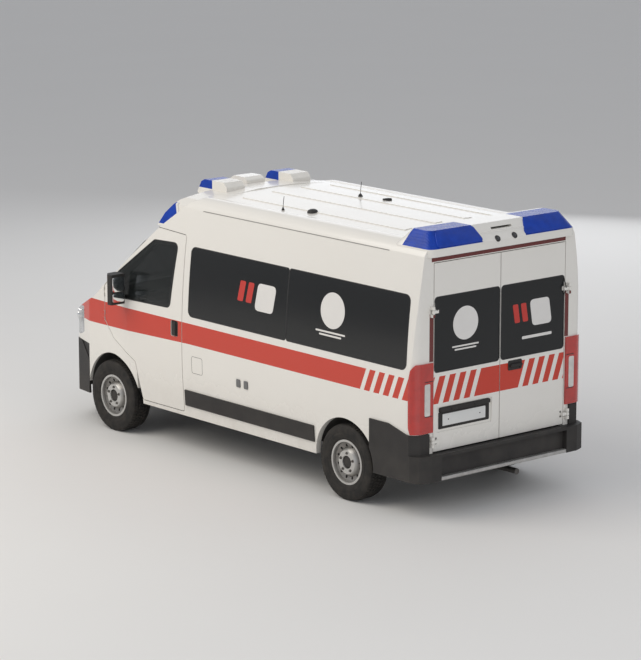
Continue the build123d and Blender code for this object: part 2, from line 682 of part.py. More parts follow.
# Corner lenses from the side, lens pods and the middle bump from the side
CORNER_LENS = [(955, 2142), (884, 2362), (200, 2362), (200, 2142)]
CORNER_LENS_IN = WIDTH / 2 - 385
LENS_RIM = 26.0
RIM_HEIGHT = 12.0
POD = [(730, 2400), (800, 2520), (850, 2545), (1140, 2545), (1184, 2500), (1184, 2400)]
POD_SPAN = (300.0, 520.0)
HOOD_BUMP = [(690, 2400), (740, 2505), (790, 2532), (940, 2532), (985, 2505), (985, 2400)]
HOOD_BUMP_HALF = 110.0

# Rear roof fairing, a low base with a lens body on it that narrows upwards: three heights, and the outlines
# at the base and the top as (half width, front, rear, corner radius), behind the door plane
REAR_HOOD_Z = (2332.0, 2400.0, 2545.0)
REAR_HOOD_LOW = (WIDTH / 2 - 137, -440.0, 45.0, 75.0)
REAR_HOOD_HIGH = (WIDTH / 2 - 225, -300.0, -62.0, 60.0)
# Rear lenses: cut lines seen from behind and from the side, and the siren slot as (x, x, height, height)
REAR_LENS_IN = [(260, 2402), (335, 2602), (1100, 2602), (1100, 2402)]
REAR_LENS_AHEAD = [(-318, 2402), (-262, 2602), (200, 2602), (200, 2402)]
SIREN_SLOT = (-147.0, 104.0, 2487.0, 2505.0)


def front_hood(grow=0.0):
    """Front roof fairing and its corner lamps as one form."""
    front_view = FRONT_HOOD_FRONT + [(-x, z) for x, z in reversed(FRONT_HOOD_FRONT)]
    rear = from_front(FRONT_HOOD_SIDE[5][0])
    face = Plane.XZ.offset(-rear) * grown(face_of(front_view), grow)
    return (swept(FRONT_HOOD_SIDE, grow) & extrude(face, rear - FRONT_Y, dir=(0, -1, 0))) - OUTER


def corner_lens_space(side, back=0.0):
    x = sorted((side * CORNER_LENS_IN, side * FAR))
    return prism_x([(y + back, z) for y, z in along_front(CORNER_LENS)], *x)


def light_pods():
    pod = prism_x(along_front(POD), *POD_SPAN, 16) - front_hood() - OUTER
    return [pod, other_side(pod)]


def rounded_plan(measures, z):
    half, front, rear, corner = measures
    plan = RectangleRounded(2 * half, rear - front, corner)
    return Plane.XY.offset(z) * Pos(0, DOOR_PLANE_Y + (front + rear) / 2) * plan


def rear_hood():
    """Rear roof fairing and its lamps as one form."""
    low, seat, high = REAR_HOOD_Z
    base = extrude(rounded_plan(REAR_HOOD_LOW, low), seat - low, dir=(0, 0, 1))
    body = loft([rounded_plan(REAR_HOOD_LOW, seat), rounded_plan(REAR_HOOD_HIGH, high)])
    return base + body - OUTER


def rear_lens_space(side):
    inner = prism_y([(side * x, z) for x, z in REAR_LENS_IN], DOOR_PLANE_Y - 600, REAR_Y)
    return inner & prism_x([(DOOR_PLANE_Y + y, z) for y, z in REAR_LENS_AHEAD], -FAR, FAR)


def light_fairings():
    front = front_hood()
    rear = rear_hood()
    for side in (1, -1):
        rim = corner_lens_space(side, LENS_RIM) - corner_lens_space(side)
        front = front - corner_lens_space(side) + (front_hood(RIM_HEIGHT) & rim)
        rear -= rear_lens_space(side)
    front += prism_x(along_front(HOOD_BUMP), -HOOD_BUMP_HALF, HOOD_BUMP_HALF, 14) - OUTER
    x0, x1, z0, z1 = SIREN_SLOT
    return [front, rear - block(x0, x1, DOOR_PLANE_Y - 80, REAR_Y, z0, z1)]


def beacon_lenses():
    corners = [front_hood() & corner_lens_space(side) for side in (1, -1)]
    return corners + light_pods() + [rear_hood() & rear_lens_space(side) for side in (1, -1)]


def floor_pan():
    flat = LINING & block(-FAR, FAR, from_front(430), DOOR_PLANE_Y, FLOOR_TOP_Z - FLOOR_THICK,
                          FLOOR_TOP_Z)
    flat -= firewall()
    return flat - REAR_ARCH - other_side(REAR_ARCH)


def firewall():
    """Toe board and upper wall between the front wheel housings."""
    return prism_x(along_front(TOE_BOARD), -TOE_BOARD_HALF, TOE_BOARD_HALF)


def chassis_rails():
    frame = block(-520, 520, from_front(-790), from_front(-730), RAIL_BOTTOM_Z + 30, RAIL_TOP_Z)
    frame -= rod_y(from_front(-800), from_front(-720), TOW_SOCKET[0], TOW_SOCKET[1], TOW_SOCKET[2])
    for side in (1, -1):
        x = sorted((side * RAIL_IN, side * RAIL_OUT))
        frame += block(x[0], x[1], from_front(-730), from_front(-620), RAIL_BOTTOM_Z + 30, RAIL_TOP_Z)
        frame += block(x[0], x[1], from_front(-620), DOOR_PLANE_Y - WALL, RAIL_BOTTOM_Z, RAIL_TOP_Z)
    for y in (from_front(900), from_front(2300), from_rear(-500), from_rear(560), DOOR_PLANE_Y - WALL - 80):
        frame += block(-880, 880, y, y + 60, RAIL_BOTTOM_Z + 40, RAIL_TOP_Z) & LINING
    return frame


def strut_point(z):
    return (BALL_JOINT_X - (z - BALL_JOINT_Z) * math.tan(math.radians(KING_PIN_LEAN)), FRONT_AXLE_Y, z)


def front_housing_outside():
    wall = 6.0
    return rod_x(FRONT_HOUSING_IN - wall, 960, FRONT_AXLE_Y, AXLE_Z, FRONT_ARCH_RADIUS + wall) + rod_between(
        strut_point(700), strut_point(STRUT_TOP_Z), 92)


def wheel_housings():
    tower_low = strut_point(700)
    outer = front_housing_outside()
    inner = rod_x(FRONT_HOUSING_IN, 1000, FRONT_AXLE_Y, AXLE_Z, FRONT_ARCH_RADIUS) + rod_between(
        tower_low, strut_point(STRUT_TOP_Z - 8), 84)
    front = (outer - inner) & block(0, FAR, -FAR, FAR, AXLE_Z, SKY)
    front -= rod_between(strut_point(STRUT_TOP_Z - 60), strut_point(STRUT_TOP_Z + 60), 12 + RUNNING_CLEARANCE)
    front = front & INNER
    rear = rod_x(REAR_HOUSING_IN - 6, 1000, REAR_AXLE_Y, AXLE_Z, REAR_ARCH_RADIUS + 6) - rod_x(
        REAR_HOUSING_IN, 1010, REAR_AXLE_Y, AXLE_Z, REAR_ARCH_RADIUS)
    rear = rear & LINING & block(0, FAR, -FAR, FAR, FLOOR_TOP_Z, SKY)
    return [front, other_side(front), rear, other_side(rear)]


CALIPER = [(78, -62), (138, -62), (156, 0), (138, 62), (78, 62)]


def knuckle():
    spindle_x = FRONT_TRACK / 2 + WHEEL_OFFSET + SPINDLE_REACH
    piece = rod_between(strut_point(BALL_JOINT_Z - 20), strut_point(300), 14)
    piece += rod_between(strut_point(430), strut_point(STRUT_TOP_Z - 12), 22)
    piece += rod_between(strut_point(760), strut_point(STRUT_TOP_Z - 14), 60)
    piece += rod_between(strut_point(STRUT_TOP_Z - 20), strut_point(STRUT_TOP_Z + 14), 12)
    piece += prism_y([(838, 270), (880, 270), (880, 420), (850, 500), (790, 500), (790, 430)],
                     FRONT_AXLE_Y - 45, FRONT_AXLE_Y + 45)
    piece += rod_x(850, spindle_x, FRONT_AXLE_Y, AXLE_Z, HUB_BORE_RADIUS - RUNNING_CLEARANCE)
    piece += rod_x(918, 938, FRONT_AXLE_Y, AXLE_Z, 132)
    caliper = prism_x([(FRONT_AXLE_Y + y, AXLE_Z + z) for y, z in CALIPER], 908, 940, 12)
    return piece + caliper


CONTROL_ARM = [(400, -110), (400, 110), (840, 22), (840, -22)]


def front_subframe():
    cross = block(-470, 470, from_front(-110), from_front(190), 225, 290)
    for side in (1, -1):
        x = sorted((side * 390, side * 470))
        cross += block(x[0], x[1], from_front(-60), from_front(140), 290, 400)
        ball = strut_point(BALL_JOINT_Z)
        arm = prism_z([(side * x, from_front(y)) for x, y in CONTROL_ARM], 198, 225)
        arm += block(*sorted((side * 400, side * 470)), from_front(-110), from_front(110), 198, 226)
        eye = rod_between(strut_point(BALL_JOINT_Z - 16), strut_point(BALL_JOINT_Z + 14), 34)
        hole = rod_between(strut_point(BALL_JOINT_Z - 60), strut_point(BALL_JOINT_Z + 60),
                           14 + RUNNING_CLEARANCE)
        if side < 0:
            eye, hole = other_side(eye), other_side(hole)
        cross += arm + eye
        cross -= hole
    return cross


def tyre(x, y):
    half = TYRE_WIDTH / 2
    bead = (77, RIM_RADIUS + SEAT)
    bulge = (half, (RIM_RADIUS + TYRE_RADIUS) / 2)
    shoulder = (half - 25, TYRE_RADIUS)
    profile = face_of([bead, bulge, shoulder] + [(-a, r) for a, r in (shoulder, bulge, bead)])
    return Pos(x, y, AXLE_Z) * revolve(profile, Axis.X, 360)


def wheel(side, y, track):
    profile = face_of([(-95, 176), (-95, 206), (-82.5, 206), (-82.5, RIM_RADIUS), (82.5, RIM_RADIUS),
                       (82.5, 206), (95, 206), (95, 186), (66, 180), (56, 138), (92, 108), (92, 60), (72, 54),
                       (72, HUB_BORE_RADIUS), (WHEEL_OFFSET - 18, HUB_BORE_RADIUS), (WHEEL_OFFSET - 18, 60),
                       (WHEEL_OFFSET - 8, 100), (42, 140), (54, 184), (-60, 184), (-80, 176)])
    disc = revolve(profile, Axis.X, 360)
    hole = Pos(70, 0, 150) * Rot(0, 90, 0) * Cylinder(13, 80)
    for step in range(12):
        disc -= Rot(30 * step + 15, 0, 0) * hole
    if side < 0:
        disc = other_side(disc)
    return Pos(side * track / 2, y, AXLE_Z) * disc


def rear_axle():
    tube_z = AXLE_Z - 42
    beam = rod_x(-830, 830, REAR_AXLE_Y, tube_z, 35)
    for side in (1, -1):
        x = sorted((side * 800, side * 850))
        beam += block(x[0], x[1], from_rear(-50), from_rear(50), tube_z - 45, AXLE_Z + 50)
        end = REAR_TRACK / 2 + WHEEL_OFFSET + SPINDLE_REACH
        x = sorted((side * 850, side * end))
        beam += rod_x(x[0], x[1], REAR_AXLE_Y, AXLE_Z, HUB_BORE_RADIUS - RUNNING_CLEARANCE)
        x = sorted((side * 850, side * 885))
        beam += rod_x(x[0], x[1], REAR_AXLE_Y, AXLE_Z, 140)
    return beam


def leaf_springs():
    tube_top = AXLE_Z - 42 + 35
    springs = []
    for side in (1, -1):
        x = sorted((side * 400, side * 460))
        upper = ThreePointArc((from_rear(-640), 398), (REAR_AXLE_Y, tube_top + 14), (from_rear(640), 398))
        lower = ThreePointArc((from_rear(-640), 384), (REAR_AXLE_Y, tube_top), (from_rear(640), 384))
        leaf = make_face(Curve() + [upper, lower, Line((from_rear(-640), 384), (from_rear(-640), 398)),
                                    Line((from_rear(640), 384), (from_rear(640), 398))])
        spring = side_prism(leaf, x[0], x[1])
        for y in (from_rear(-640), from_rear(600)):
            spring += block(x[0], x[1], y, y + 40, 384, 400 - SEAT)
        springs.append(spring)
    return springs


def exhaust():
    pipe_z, pipe_x = 238, -250
    pipe = rod_y(from_front(190) + SEAT, DOOR_PLANE_Y - 20, pipe_x, pipe_z, 27)
    pipe += rod_y(from_front(1500), from_front(2250), pipe_x, pipe_z + 20, 85)
    for y in (from_front(2700), from_rear(480)):
        pipe += block(pipe_x - 12, pipe_x + 12, y, y + 24, pipe_z + 20, FLOOR_TOP_Z - FLOOR_THICK - SEAT)
    return pipe


def engine_block():
    engine = block(-300, 330, from_front(-520), from_front(-160), 310, 950)
    return engine + block(-390 + SEAT, 390 - SEAT, from_front(-380), from_front(-300), 420, 500)


def dashboard():
    outline = [(-117.6, 1280), (60, 1300), (250, 1235), (300, 1060), (200, 900), (34.1, 870)]
    dash = prism_x([(from_front(y), z) for y, z in outline], -830, 830)
    for housing in (front_housing_outside(), other_side(front_housing_outside())):
        dash -= housing
    pin_room = rod_between(strut_point(STRUT_TOP_Z - 40), strut_point(STRUT_TOP_Z + 40), 92)
    dash -= pin_room
    dash -= other_side(pin_room)
    return dash + rod_between(column_point(-330), column_point(-60), 32) - rod_between(
        column_point(-120), column_point(0), 14 + RUNNING_CLEARANCE)


STEERING_CENTRE = (400, from_front(400), 1240)
COLUMN_RISE = 45.0


def column_point(distance):
    lean = math.radians(COLUMN_RISE)
    return (STEERING_CENTRE[0], STEERING_CENTRE[1] + distance * math.cos(lean),
            STEERING_CENTRE[2] + distance * math.sin(lean))


def steering_wheel():
    section = Plane.XZ * Pos(185, 0) * RegularPolygon(15, 8)
    ring = revolve(section, Axis.Z, 360)
    spokes = [Rot(0, 0, angle) * Pos(95, 0, 0) * Box(180, 34, 12) for angle in (0, 180, 270)]
    hub = Cylinder(52, 30)
    turned = Plane(origin=STEERING_CENTRE, x_dir=(1, 0, 0),
                   z_dir=(0, math.cos(math.radians(COLUMN_RISE)), math.sin(math.radians(COLUMN_RISE))))
    return turned * (ring + spokes + hub) + rod_between(column_point(-110), column_point(0), 14)


def seat_outline(points, x, half, radius):
    return prism_x(along_front(points), x - half, x + half, radius)


def cab_seats():
    cushion = [(540, 790), (560, 925), (640, 940), (1060, 905), (1060, 790)]
    back = [(930, 880), (1060, 880), (1150, 1550), (1120, 1590), (1050, 1580)]
    head = [(1052, 1540), (1132, 1540), (1160, 1740), (1140, 1770), (1085, 1765)]
    seats = []
    for x in (420, -420):
        base = block(x - 200, x + 200, from_front(640), from_front(1040), FLOOR_TOP_Z, 800)
        seats.append(base + seat_outline(cushion, x, 240, 18) + seat_outline(back, x, 232, 18)
                     + seat_outline(head, x, 130, 18))
    return seats


def bulkhead():
    wall = LINING & block(-FAR, FAR, from_front(BULKHEAD_Y), from_front(BULKHEAD_Y + 30), FLOOR_TOP_Z, SKY)
    return wall - prism_y(rectangle(-300, 300, 1450, 1850), from_front(1100), from_front(1300), 50)


def patient_cabinets():
    y0, y1 = from_front(1200), from_front(2900)
    low = LINING & block(520, FAR, y0, y1, FLOOR_TOP_Z, 1300)
    high = LINING & block(600, FAR, y0, DOOR_PLANE_Y - 180, PANE_TOP_Z + 24, SEAM_Z)
    return [low, high]


def attendant_seat():
    x, y = -640, from_front(1500)
    seat = block(x - 200, x + 200, y, y + 400, FLOOR_TOP_Z, 900)
    seat += block(x - 220, x + 220, y - 20, y + 460, 900, 1010)
    return seat + block(x - 220, x + 220, y - 90, y - 20, 900, 1620)


def stretcher_table():
    return block(-330, 330, from_rear(-1150), from_rear(750), FLOOR_TOP_Z, 700)


# Door mirror: its head seen from above as (distance out from the side, distance behind the front axle),
# and its foot seen from the side
MIRROR_HEAD = [(41, 300), (211, 300), (211, 238), (167, 184), (79, 174), (41, 214)]
MIRROR_Z = (1325.0, 1620.0)
MIRROR_FOOT = [(0, 1335), (212, 1340), (96, 1500), (40, 1440)]


def mirror_piece():
    head = prism_z([(WIDTH / 2 + x, from_front(y)) for x, y in MIRROR_HEAD], *MIRROR_Z, 18)
    arm = block(WIDTH / 2 - 25, WIDTH / 2 + 65, from_front(150), from_front(205), 1350, 1382)
    foot = (form(-14, 0, True) - OUTER) & side_prism(door_line(MIRROR_FOOT, 0, 14), CAB_DOOR_IN, FAR)
    return head + (arm - OUTER) + foot


def radiator():
    """Cooler behind the grille and intake, against the front cross beam."""
    return block(-330, 330, from_front(-730) + SEAT, from_front(-690), RAIL_BOTTOM_Z + 10, 800)


save("floor_pan", floor_pan())
save("firewall", firewall())
save("chassis_rails", chassis_rails())
save("side_panel_left", side_panel_left())
save("side_panel_right", side_panel_right())
save("sliding_door", sliding_door())
save("roof_panel", roof_panel())
save("cab_frame", cab_frame())
save("front_wings", front_wing(), other_side(front_wing()))
save("bonnet", bonnet())
save("front_bumper", front_bumper())
save("grille", grille())
save("headlamps", *headlamps())
save("radiator", radiator())
save("windscreen", GLASS_SKIN & windscreen_prism())
save("side_glass", *[GLASS_SKIN & pane_prism(pane, 1) for pane in (LEFT_FRONT_PANE, LEFT_REAR_PANE)],
     *[GLASS_SKIN & pane_prism(pane, -1) for pane in (RIGHT_FRONT_PANE, RIGHT_REAR_PANE)])
save("rear_bumper", rear_bumper())
save("rear_step", rear_step())
save("tail_lamps", *tail_lamps())
save("side_mouldings", *side_mouldings())
save("light_fairings", *light_fairings())
save("beacon_lenses", *beacon_lenses())
save("wheel_housings", *wheel_housings())
save("front_subframe", front_subframe())
save("rear_axle", rear_axle())
save("leaf_springs", *leaf_springs())
save("fuel_tank", block(-60, 360, from_front(1250), from_front(2150), 340, FLOOR_TOP_Z - FLOOR_THICK))
save("exhaust", exhaust())
save("engine_block", engine_block())
save("dashboard", dashboard())
save("cab_seats", *cab_seats())
save("bulkhead", bulkhead())
save("patient_cabinets", *patient_cabinets())
save("attendant_seat", attendant_seat())
save("stretcher_table", stretcher_table())
save("steering_wheel", steering_wheel())
for side, name in ((1, "left"), (-1, "right")):
    place = (lambda shape: shape) if side > 0 else other_side
    save(f"cab_door_{name}", place(cab_door()))
    save(f"cab_door_glass_{name}", place(GLASS_SKIN & CAB_GLASS_PRISM))
    save(f"mirror_{name}", place(mirror_piece()))
    save(f"rear_door_{name}", rear_door(side))
    save(f"rear_door_glass_{name}", GLASS_SKIN & rear_pane_prism(side))
    save(f"knuckle_{name}", place(knuckle()))
    for axle, y, track in (("front", FRONT_AXLE_Y, FRONT_TRACK), ("rear", REAR_AXLE_Y, REAR_TRACK)):
        save(f"tyre_{axle}_{name}", tyre(side * track / 2, y))
        save(f"wheel_{axle}_{name}", wheel(side, y, track))
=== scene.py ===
import bpy
import bmesh
import json
import math
from mathutils import Matrix, Vector
from mathutils.bvhtree import BVHTree


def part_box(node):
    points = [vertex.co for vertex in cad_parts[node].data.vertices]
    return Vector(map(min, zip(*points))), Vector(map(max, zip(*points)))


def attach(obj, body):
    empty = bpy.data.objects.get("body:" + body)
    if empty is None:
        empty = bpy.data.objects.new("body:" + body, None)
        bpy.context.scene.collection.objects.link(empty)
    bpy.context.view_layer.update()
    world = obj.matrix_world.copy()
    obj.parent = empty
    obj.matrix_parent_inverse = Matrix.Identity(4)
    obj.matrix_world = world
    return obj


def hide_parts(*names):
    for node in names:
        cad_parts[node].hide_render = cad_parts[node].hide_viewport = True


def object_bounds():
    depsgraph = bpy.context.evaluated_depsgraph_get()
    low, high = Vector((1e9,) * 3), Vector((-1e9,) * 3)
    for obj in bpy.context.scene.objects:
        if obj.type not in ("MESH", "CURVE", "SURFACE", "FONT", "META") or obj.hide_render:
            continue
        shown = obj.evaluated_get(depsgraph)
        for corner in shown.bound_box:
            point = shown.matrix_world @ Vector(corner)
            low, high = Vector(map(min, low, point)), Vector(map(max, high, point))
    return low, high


# High-roof van ambulance. Metres, +Z up, front towards -Y, the vehicle's left side towards +X.
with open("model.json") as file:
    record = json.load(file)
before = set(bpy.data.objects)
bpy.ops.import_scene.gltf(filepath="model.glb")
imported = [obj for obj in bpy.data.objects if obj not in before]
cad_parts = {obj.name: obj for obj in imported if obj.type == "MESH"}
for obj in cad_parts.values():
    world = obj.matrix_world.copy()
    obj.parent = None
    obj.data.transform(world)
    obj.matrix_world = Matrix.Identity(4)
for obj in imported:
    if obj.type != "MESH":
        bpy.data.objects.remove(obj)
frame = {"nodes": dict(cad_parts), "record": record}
NODES = frame["nodes"]
CAD_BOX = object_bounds()

# Places read from the frame
FRONT_Y, REAR_Y = CAD_BOX[0].y, CAD_BOX[1].y
DOOR_Y = REAR_Y - 0.085
FRONT_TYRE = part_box("tyre_front_left")
REAR_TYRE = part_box("tyre_rear_left")
FRONT_AXLE_Y = (FRONT_TYRE[0].y + FRONT_TYRE[1].y) / 2
REAR_AXLE_Y = (REAR_TYRE[0].y + REAR_TYRE[1].y) / 2
TYRE_RADIUS = (REAR_TYRE[1].z - REAR_TYRE[0].z) / 2
ROOF_Z = 2.478

# Livery: pairs are low and high limits, gaps are shares of the step, leans are across per height
STRIPE_TOP_Z = 1.268
STRIPE_FRONT_Z = 1.03
STRIPE_BOTTOM_Z = 1.07
STRIPE_INNER_X = 0.86
HATCH_STEP = 0.125
SIDE_HATCH_Y = FRONT_AXLE_Y + 3.67
SIDE_HATCH_LEAN, SIDE_HATCH_GAP = 0.4, 0.4
REAR_BAND_Z, REAR_BAND_X = (1.02, 1.262), 0.8
REAR_HATCH_X, REAR_HATCH_Z = 0.27, 1.14
REAR_HATCH_LEAN, REAR_HATCH_GAP = 0.35, 0.42
DOOR_LINE_Z, DOOR_LINE_X = (2.286, 2.322), (-0.8, 0.83)
POST_STRIP_Z, POST_STRIP_X = (1.405, 1.83), (0.803, 0.85)
BEACON_POD_X, BEACON_BASE_Z = (0.27, 0.55), 2.462

# Camera, in the part's frame, from the vanishing lines of the photograph
CAMERA_PLACE = (18.539, 21.8065, 7.248)
CAMERA_AIM = (0, 0.18, 1.18)
CAMERA_LENS = 168

WHITE = (0.8, 0.775, 0.725)
STRIPE_RED = (0.56, 0.03, 0.008)
DARK_RED = (0.13, 0.012, 0.01)
SIDES = ((1, "left"), (-1, "right"))
MM = 0.001
FORWARD, REARWARD, UPWARD = (0, -1, 0), (0, 1, 0), (0, 0, 1)


def behind(distance):
    """The y of a place at a distance behind the front axle."""
    return FRONT_AXLE_Y + distance


class Finish:
    """A procedural material built up in layers, each mixed over those before it."""

    def __init__(self, name, color, roughness=0.4, **sockets):
        self.name, self.rough, self.height = name, roughness, None
        self.color = (*color, 1)
        self.material = bpy.data.materials.new(name)
        self.material.use_nodes = True
        self.tree = self.material.node_tree
        self.shader = self.tree.nodes["Principled BSDF"]
        for key, value in {"Base Color": self.color, "Roughness": roughness, **sockets}.items():
            self.shader.inputs[key.replace("_", " ")].default_value = value
        self.place = self.node("TexCoord", {})

    def node(self, kind, inputs, **settings):
        """Adds a node with its linked or constant inputs and returns its outputs."""
        node = self.tree.nodes.new("ShaderNode" + kind)
        for key, value in settings.items():
            setattr(node, key, value)
        for key, value in inputs.items():
            if isinstance(value, bpy.types.NodeSocket):
                self.tree.links.new(value, node.inputs[key])
            else:
                node.inputs[key].default_value = value
        return node.outputs

    def give(self, key, socket):
        """Links a socket to an input of the shader."""
        self.tree.links.new(socket, self.shader.inputs[key])
        return self

    def math(self, operation, *values):
        return self.node("Math", dict(enumerate(values)), operation=operation)[0]

    def parts(self, output="Object"):
        """The three parts of the place ("Object") or of the surface's direction ("Normal")."""
        return self.node("SeparateXYZ", {0: self.place[output]})[0:3]

    def over(self, value, low):
        return self.math("GREATER_THAN", value, low)

    def under(self, value, high):
        return self.math("LESS_THAN", value, high)

    def between(self, value, low, high):
        return self.both(self.over(value, low), self.under(value, high))

    def both(self, *masks):
        result = masks[0]
        for mask in masks[1:]:
            result = self.math("MULTIPLY", result, mask)
        return result

    def ramp(self, value, low, high):
        return self.node("MapRange", {"Value": value, "From Min": low, "From Max": high}, clamp=True)[0]

    def noise(self, scale, detail=3):
        inputs = {"Vector": self.place["Object"], "Scale": scale, "Detail": detail, "Roughness": 0.55}
        return self.node("TexNoise", inputs)["Fac"]

    def hatched(self, mask, run, step, gap):
        """Cuts gaps into a mask, one a step, where the run is past zero."""
        phase = self.math("FRACT", self.math("DIVIDE", run, step))
        cut = self.both(self.over(run, 0), self.under(phase, gap))
        return self.both(mask, self.math("SUBTRACT", 1, cut))

    def mix(self, mask, color):
        inputs = {"Factor": mask, 6: self.color, 7: (*color, 1)}
        self.color = self.node("Mix", inputs, data_type="RGBA")[2]
        return self.give("Base Color", self.color)

    def bump(self, height, distance, strength):
        inputs = {"Strength": strength, "Distance": distance, "Height": height}
        if self.height is not None:
            inputs["Normal"] = self.height
        self.height = self.node("Bump", inputs)[0]
        return self.give("Normal", self.height)

    def grain(self, scale, distance, strength, detail=2):
        return self.bump(self.noise(scale, detail), distance, strength)

    def mottled(self, amount, scale, shade):
        """Soft uneven colour over the surface."""
        return self.mix(self.both(self.ramp(self.noise(scale), 0.35, 0.75), amount), shade)

    def dusty(self, height, amount, dust=(0.3, 0.25, 0.19)):
        """Rough road dust that thins out upwards."""
        low = self.ramp(self.parts()[2], height, 0.2)
        mask = self.both(low, self.ramp(self.noise(5, 5), 0.3, 0.75), amount)
        self.rough = self.math("MULTIPLY_ADD", mask, 0.5, self.rough)
        return self.mix(mask, dust).give("Roughness", self.rough)


def body_paint():
    """White paint with the side stripe and the band across the rear doors."""
    paint = Finish("body_white", WHITE, 0.26, Coat_Weight=0.4, Coat_Roughness=0.06)
    x, y, z = paint.parts()
    nx, ny, nz = paint.parts("Normal")
    aside = paint.math("ABSOLUTE", x)
    outward = paint.over(paint.both(nx, paint.math("SIGN", x)), 0.45)
    bottom = paint.math("MULTIPLY_ADD", paint.ramp(y, behind(-0.4), behind(1.2)),
                        STRIPE_BOTTOM_Z - STRIPE_FRONT_Z, STRIPE_FRONT_Z)
    stripe = paint.both(outward, paint.over(aside, STRIPE_INNER_X), paint.over(z, bottom),
                        paint.under(z, STRIPE_TOP_Z))
    slant = paint.math("SUBTRACT", paint.math("MULTIPLY_ADD", z, -SIDE_HATCH_LEAN, y),
                       SIDE_HATCH_Y - STRIPE_BOTTOM_Z * SIDE_HATCH_LEAN)
    stripe = paint.hatched(stripe, slant, HATCH_STEP, SIDE_HATCH_GAP)
    # Rear band: solid in the middle, hatched at both ends
    across = paint.math("MULTIPLY_ADD", z, REAR_HATCH_LEAN,
                        paint.math("SUBTRACT", x, REAR_HATCH_Z * REAR_HATCH_LEAN))
    beyond = paint.math("SUBTRACT", paint.math("ABSOLUTE", across), REAR_HATCH_X)
    rearward = paint.over(ny, 0.5)
    rear = paint.both(rearward, paint.over(y, DOOR_Y - 0.02), paint.between(z, *REAR_BAND_Z),
                      paint.under(aside, REAR_BAND_X))
    rear = paint.hatched(rear, beyond, HATCH_STEP, REAR_HATCH_GAP)
    paint.mottled(0.05, 1.6, (0.55, 0.5, 0.42))
    paint.mix(paint.math("MAXIMUM", stripe, rear), STRIPE_RED)
    # Dark red line over the rear doors and strips on the rear posts
    over_doors = paint.both(paint.between(z, *DOOR_LINE_Z), paint.between(x, *DOOR_LINE_X))
    posts = paint.both(paint.between(z, *POST_STRIP_Z), paint.between(aside, *POST_STRIP_X))
    marks = paint.math("MAXIMUM", over_doors, posts)
    paint.mix(paint.both(rearward, paint.over(y, DOOR_Y - 0.05), marks), DARK_RED)
    return paint.dusty(0.85, 0.3).grain(420, 0.0004, 0.25)


def black_plastic():
    """Grained dark plastic of bumpers and mouldings, faded by the sun."""
    finish = Finish("black_plastic", (0.026, 0.024, 0.023), 0.58, Specular_IOR_Level=0.35)
    finish.mottled(0.35, 2.5, (0.05, 0.047, 0.044)).dusty(0.8, 0.35, (0.13, 0.115, 0.1))
    return finish.grain(650, 0.0012, 0.5, 3)


def plain_metal(name, color, roughness, metallic, scale=9, amount=0.35, shade=(0.05, 0.045, 0.04)):
    finish = Finish(name, color, roughness, Metallic=metallic)
    return finish.mottled(amount, scale, shade).grain(260, 0.0006, 0.3)


def wheel_steel():
    """Silver wheel paint, bright on the raised ring, with painted shade in soft patches on the disc outside
    it.
    """
    finish = Finish("wheel_steel", (0.56, 0.55, 0.53), 0.36, Metallic=0.7)
    x, y, z = finish.parts()
    axle = finish.math("MULTIPLY_ADD", finish.over(y, 0), REAR_AXLE_Y - FRONT_AXLE_Y, FRONT_AXLE_Y)
    ahead = finish.math("SUBTRACT", y, axle)
    above = finish.math("SUBTRACT", z, TYRE_RADIUS)
    radius = finish.math("SQRT", finish.math("ADD", finish.both(ahead, ahead), finish.both(above, above)))
    # Painted shade: the disc between the raised ring and the rim is darkened in soft patches
    cloud = finish.math("MULTIPLY_ADD", finish.noise(9), 0.5, 0.45)
    ring = finish.both(finish.ramp(radius, 0.106, 0.128), finish.ramp(radius, 0.19, 0.178))
    finish.mix(finish.both(ring, cloud), (0.11, 0.1, 0.09))
    return finish.mix(finish.ramp(radius, 0.06, 0.055), (0.05, 0.047, 0.043)).grain(260, 0.0006, 0.3)


def beacon_plastic():
    """Blue lens plastic. The rear of each roof lamp's housing is white."""
    finish = lens("beacon_blue", (0.006, 0.05, 0.4), 0.26, 420, 0)
    finish.shader.inputs["Coat Weight"].default_value = 0.1
    finish.shader.inputs["Specular IOR Level"].default_value = 0.22
    x, y, z = finish.parts()
    pod = finish.between(finish.math("ABSOLUTE", x), *BEACON_POD_X)
    back = finish.both(pod, finish.between(y, behind(0.965), behind(1.3)))
    base = finish.both(pod, finish.between(y, behind(0.6), behind(1.3)), finish.under(z, BEACON_BASE_Z))
    return finish.mix(finish.math("MAXIMUM", back, base), WHITE)


def tyre_rubber():
    finish = Finish("tyre_rubber", (0.018, 0.017, 0.016), 0.72, Specular_IOR_Level=0.3)
    return finish.mottled(0.45, 14, (0.07, 0.06, 0.05)).grain(500, 0.0008, 0.4)


# Dark see-through glass: a real tint on the dark glass, a painted dark reflection on the clear glass
def tint_and_painted_reflection_glass(name, color, alpha):
    finish = Finish(name, color, 0.13, Specular_IOR_Level=0.42, Alpha=alpha)
    return finish.mottled(0.25, 1.2, (0.02, 0.02, 0.02))


def lens(name, color, roughness=0.12, ribs=0, axis=0, alpha=1):
    """Clear or coloured lens plastic, with moulded ribs inside."""
    finish = Finish(name, color, roughness, Coat_Weight=1, Coat_Roughness=0.03, IOR=1.5, Alpha=alpha)
    finish.mottled(0.35, 12, [0.35 * part for part in color])
    if ribs:
        finish.bump(finish.math("SINE", finish.both(finish.parts()[axis], ribs)), 0.0015, 0.5)
    return finish


def woven_fabric(name, color, second):
    finish = Finish(name, color, 0.9, Sheen_Weight=0.35, Sheen_Roughness=0.5).mottled(0.6, 90, second)
    x, y, z = finish.parts()
    waves = [finish.math("SINE", finish.both(run, 2600)) for run in (x, finish.math("ADD", z, y))]
    return finish.bump(finish.both(*waves), 0.0008, 0.6)


def grained(name, color, roughness, scale=420, amount=0.3):
    finish = Finish(name, color, roughness).mottled(amount, 5, [0.6 * part for part in color])
    return finish.grain(scale, 0.0008, 0.35)


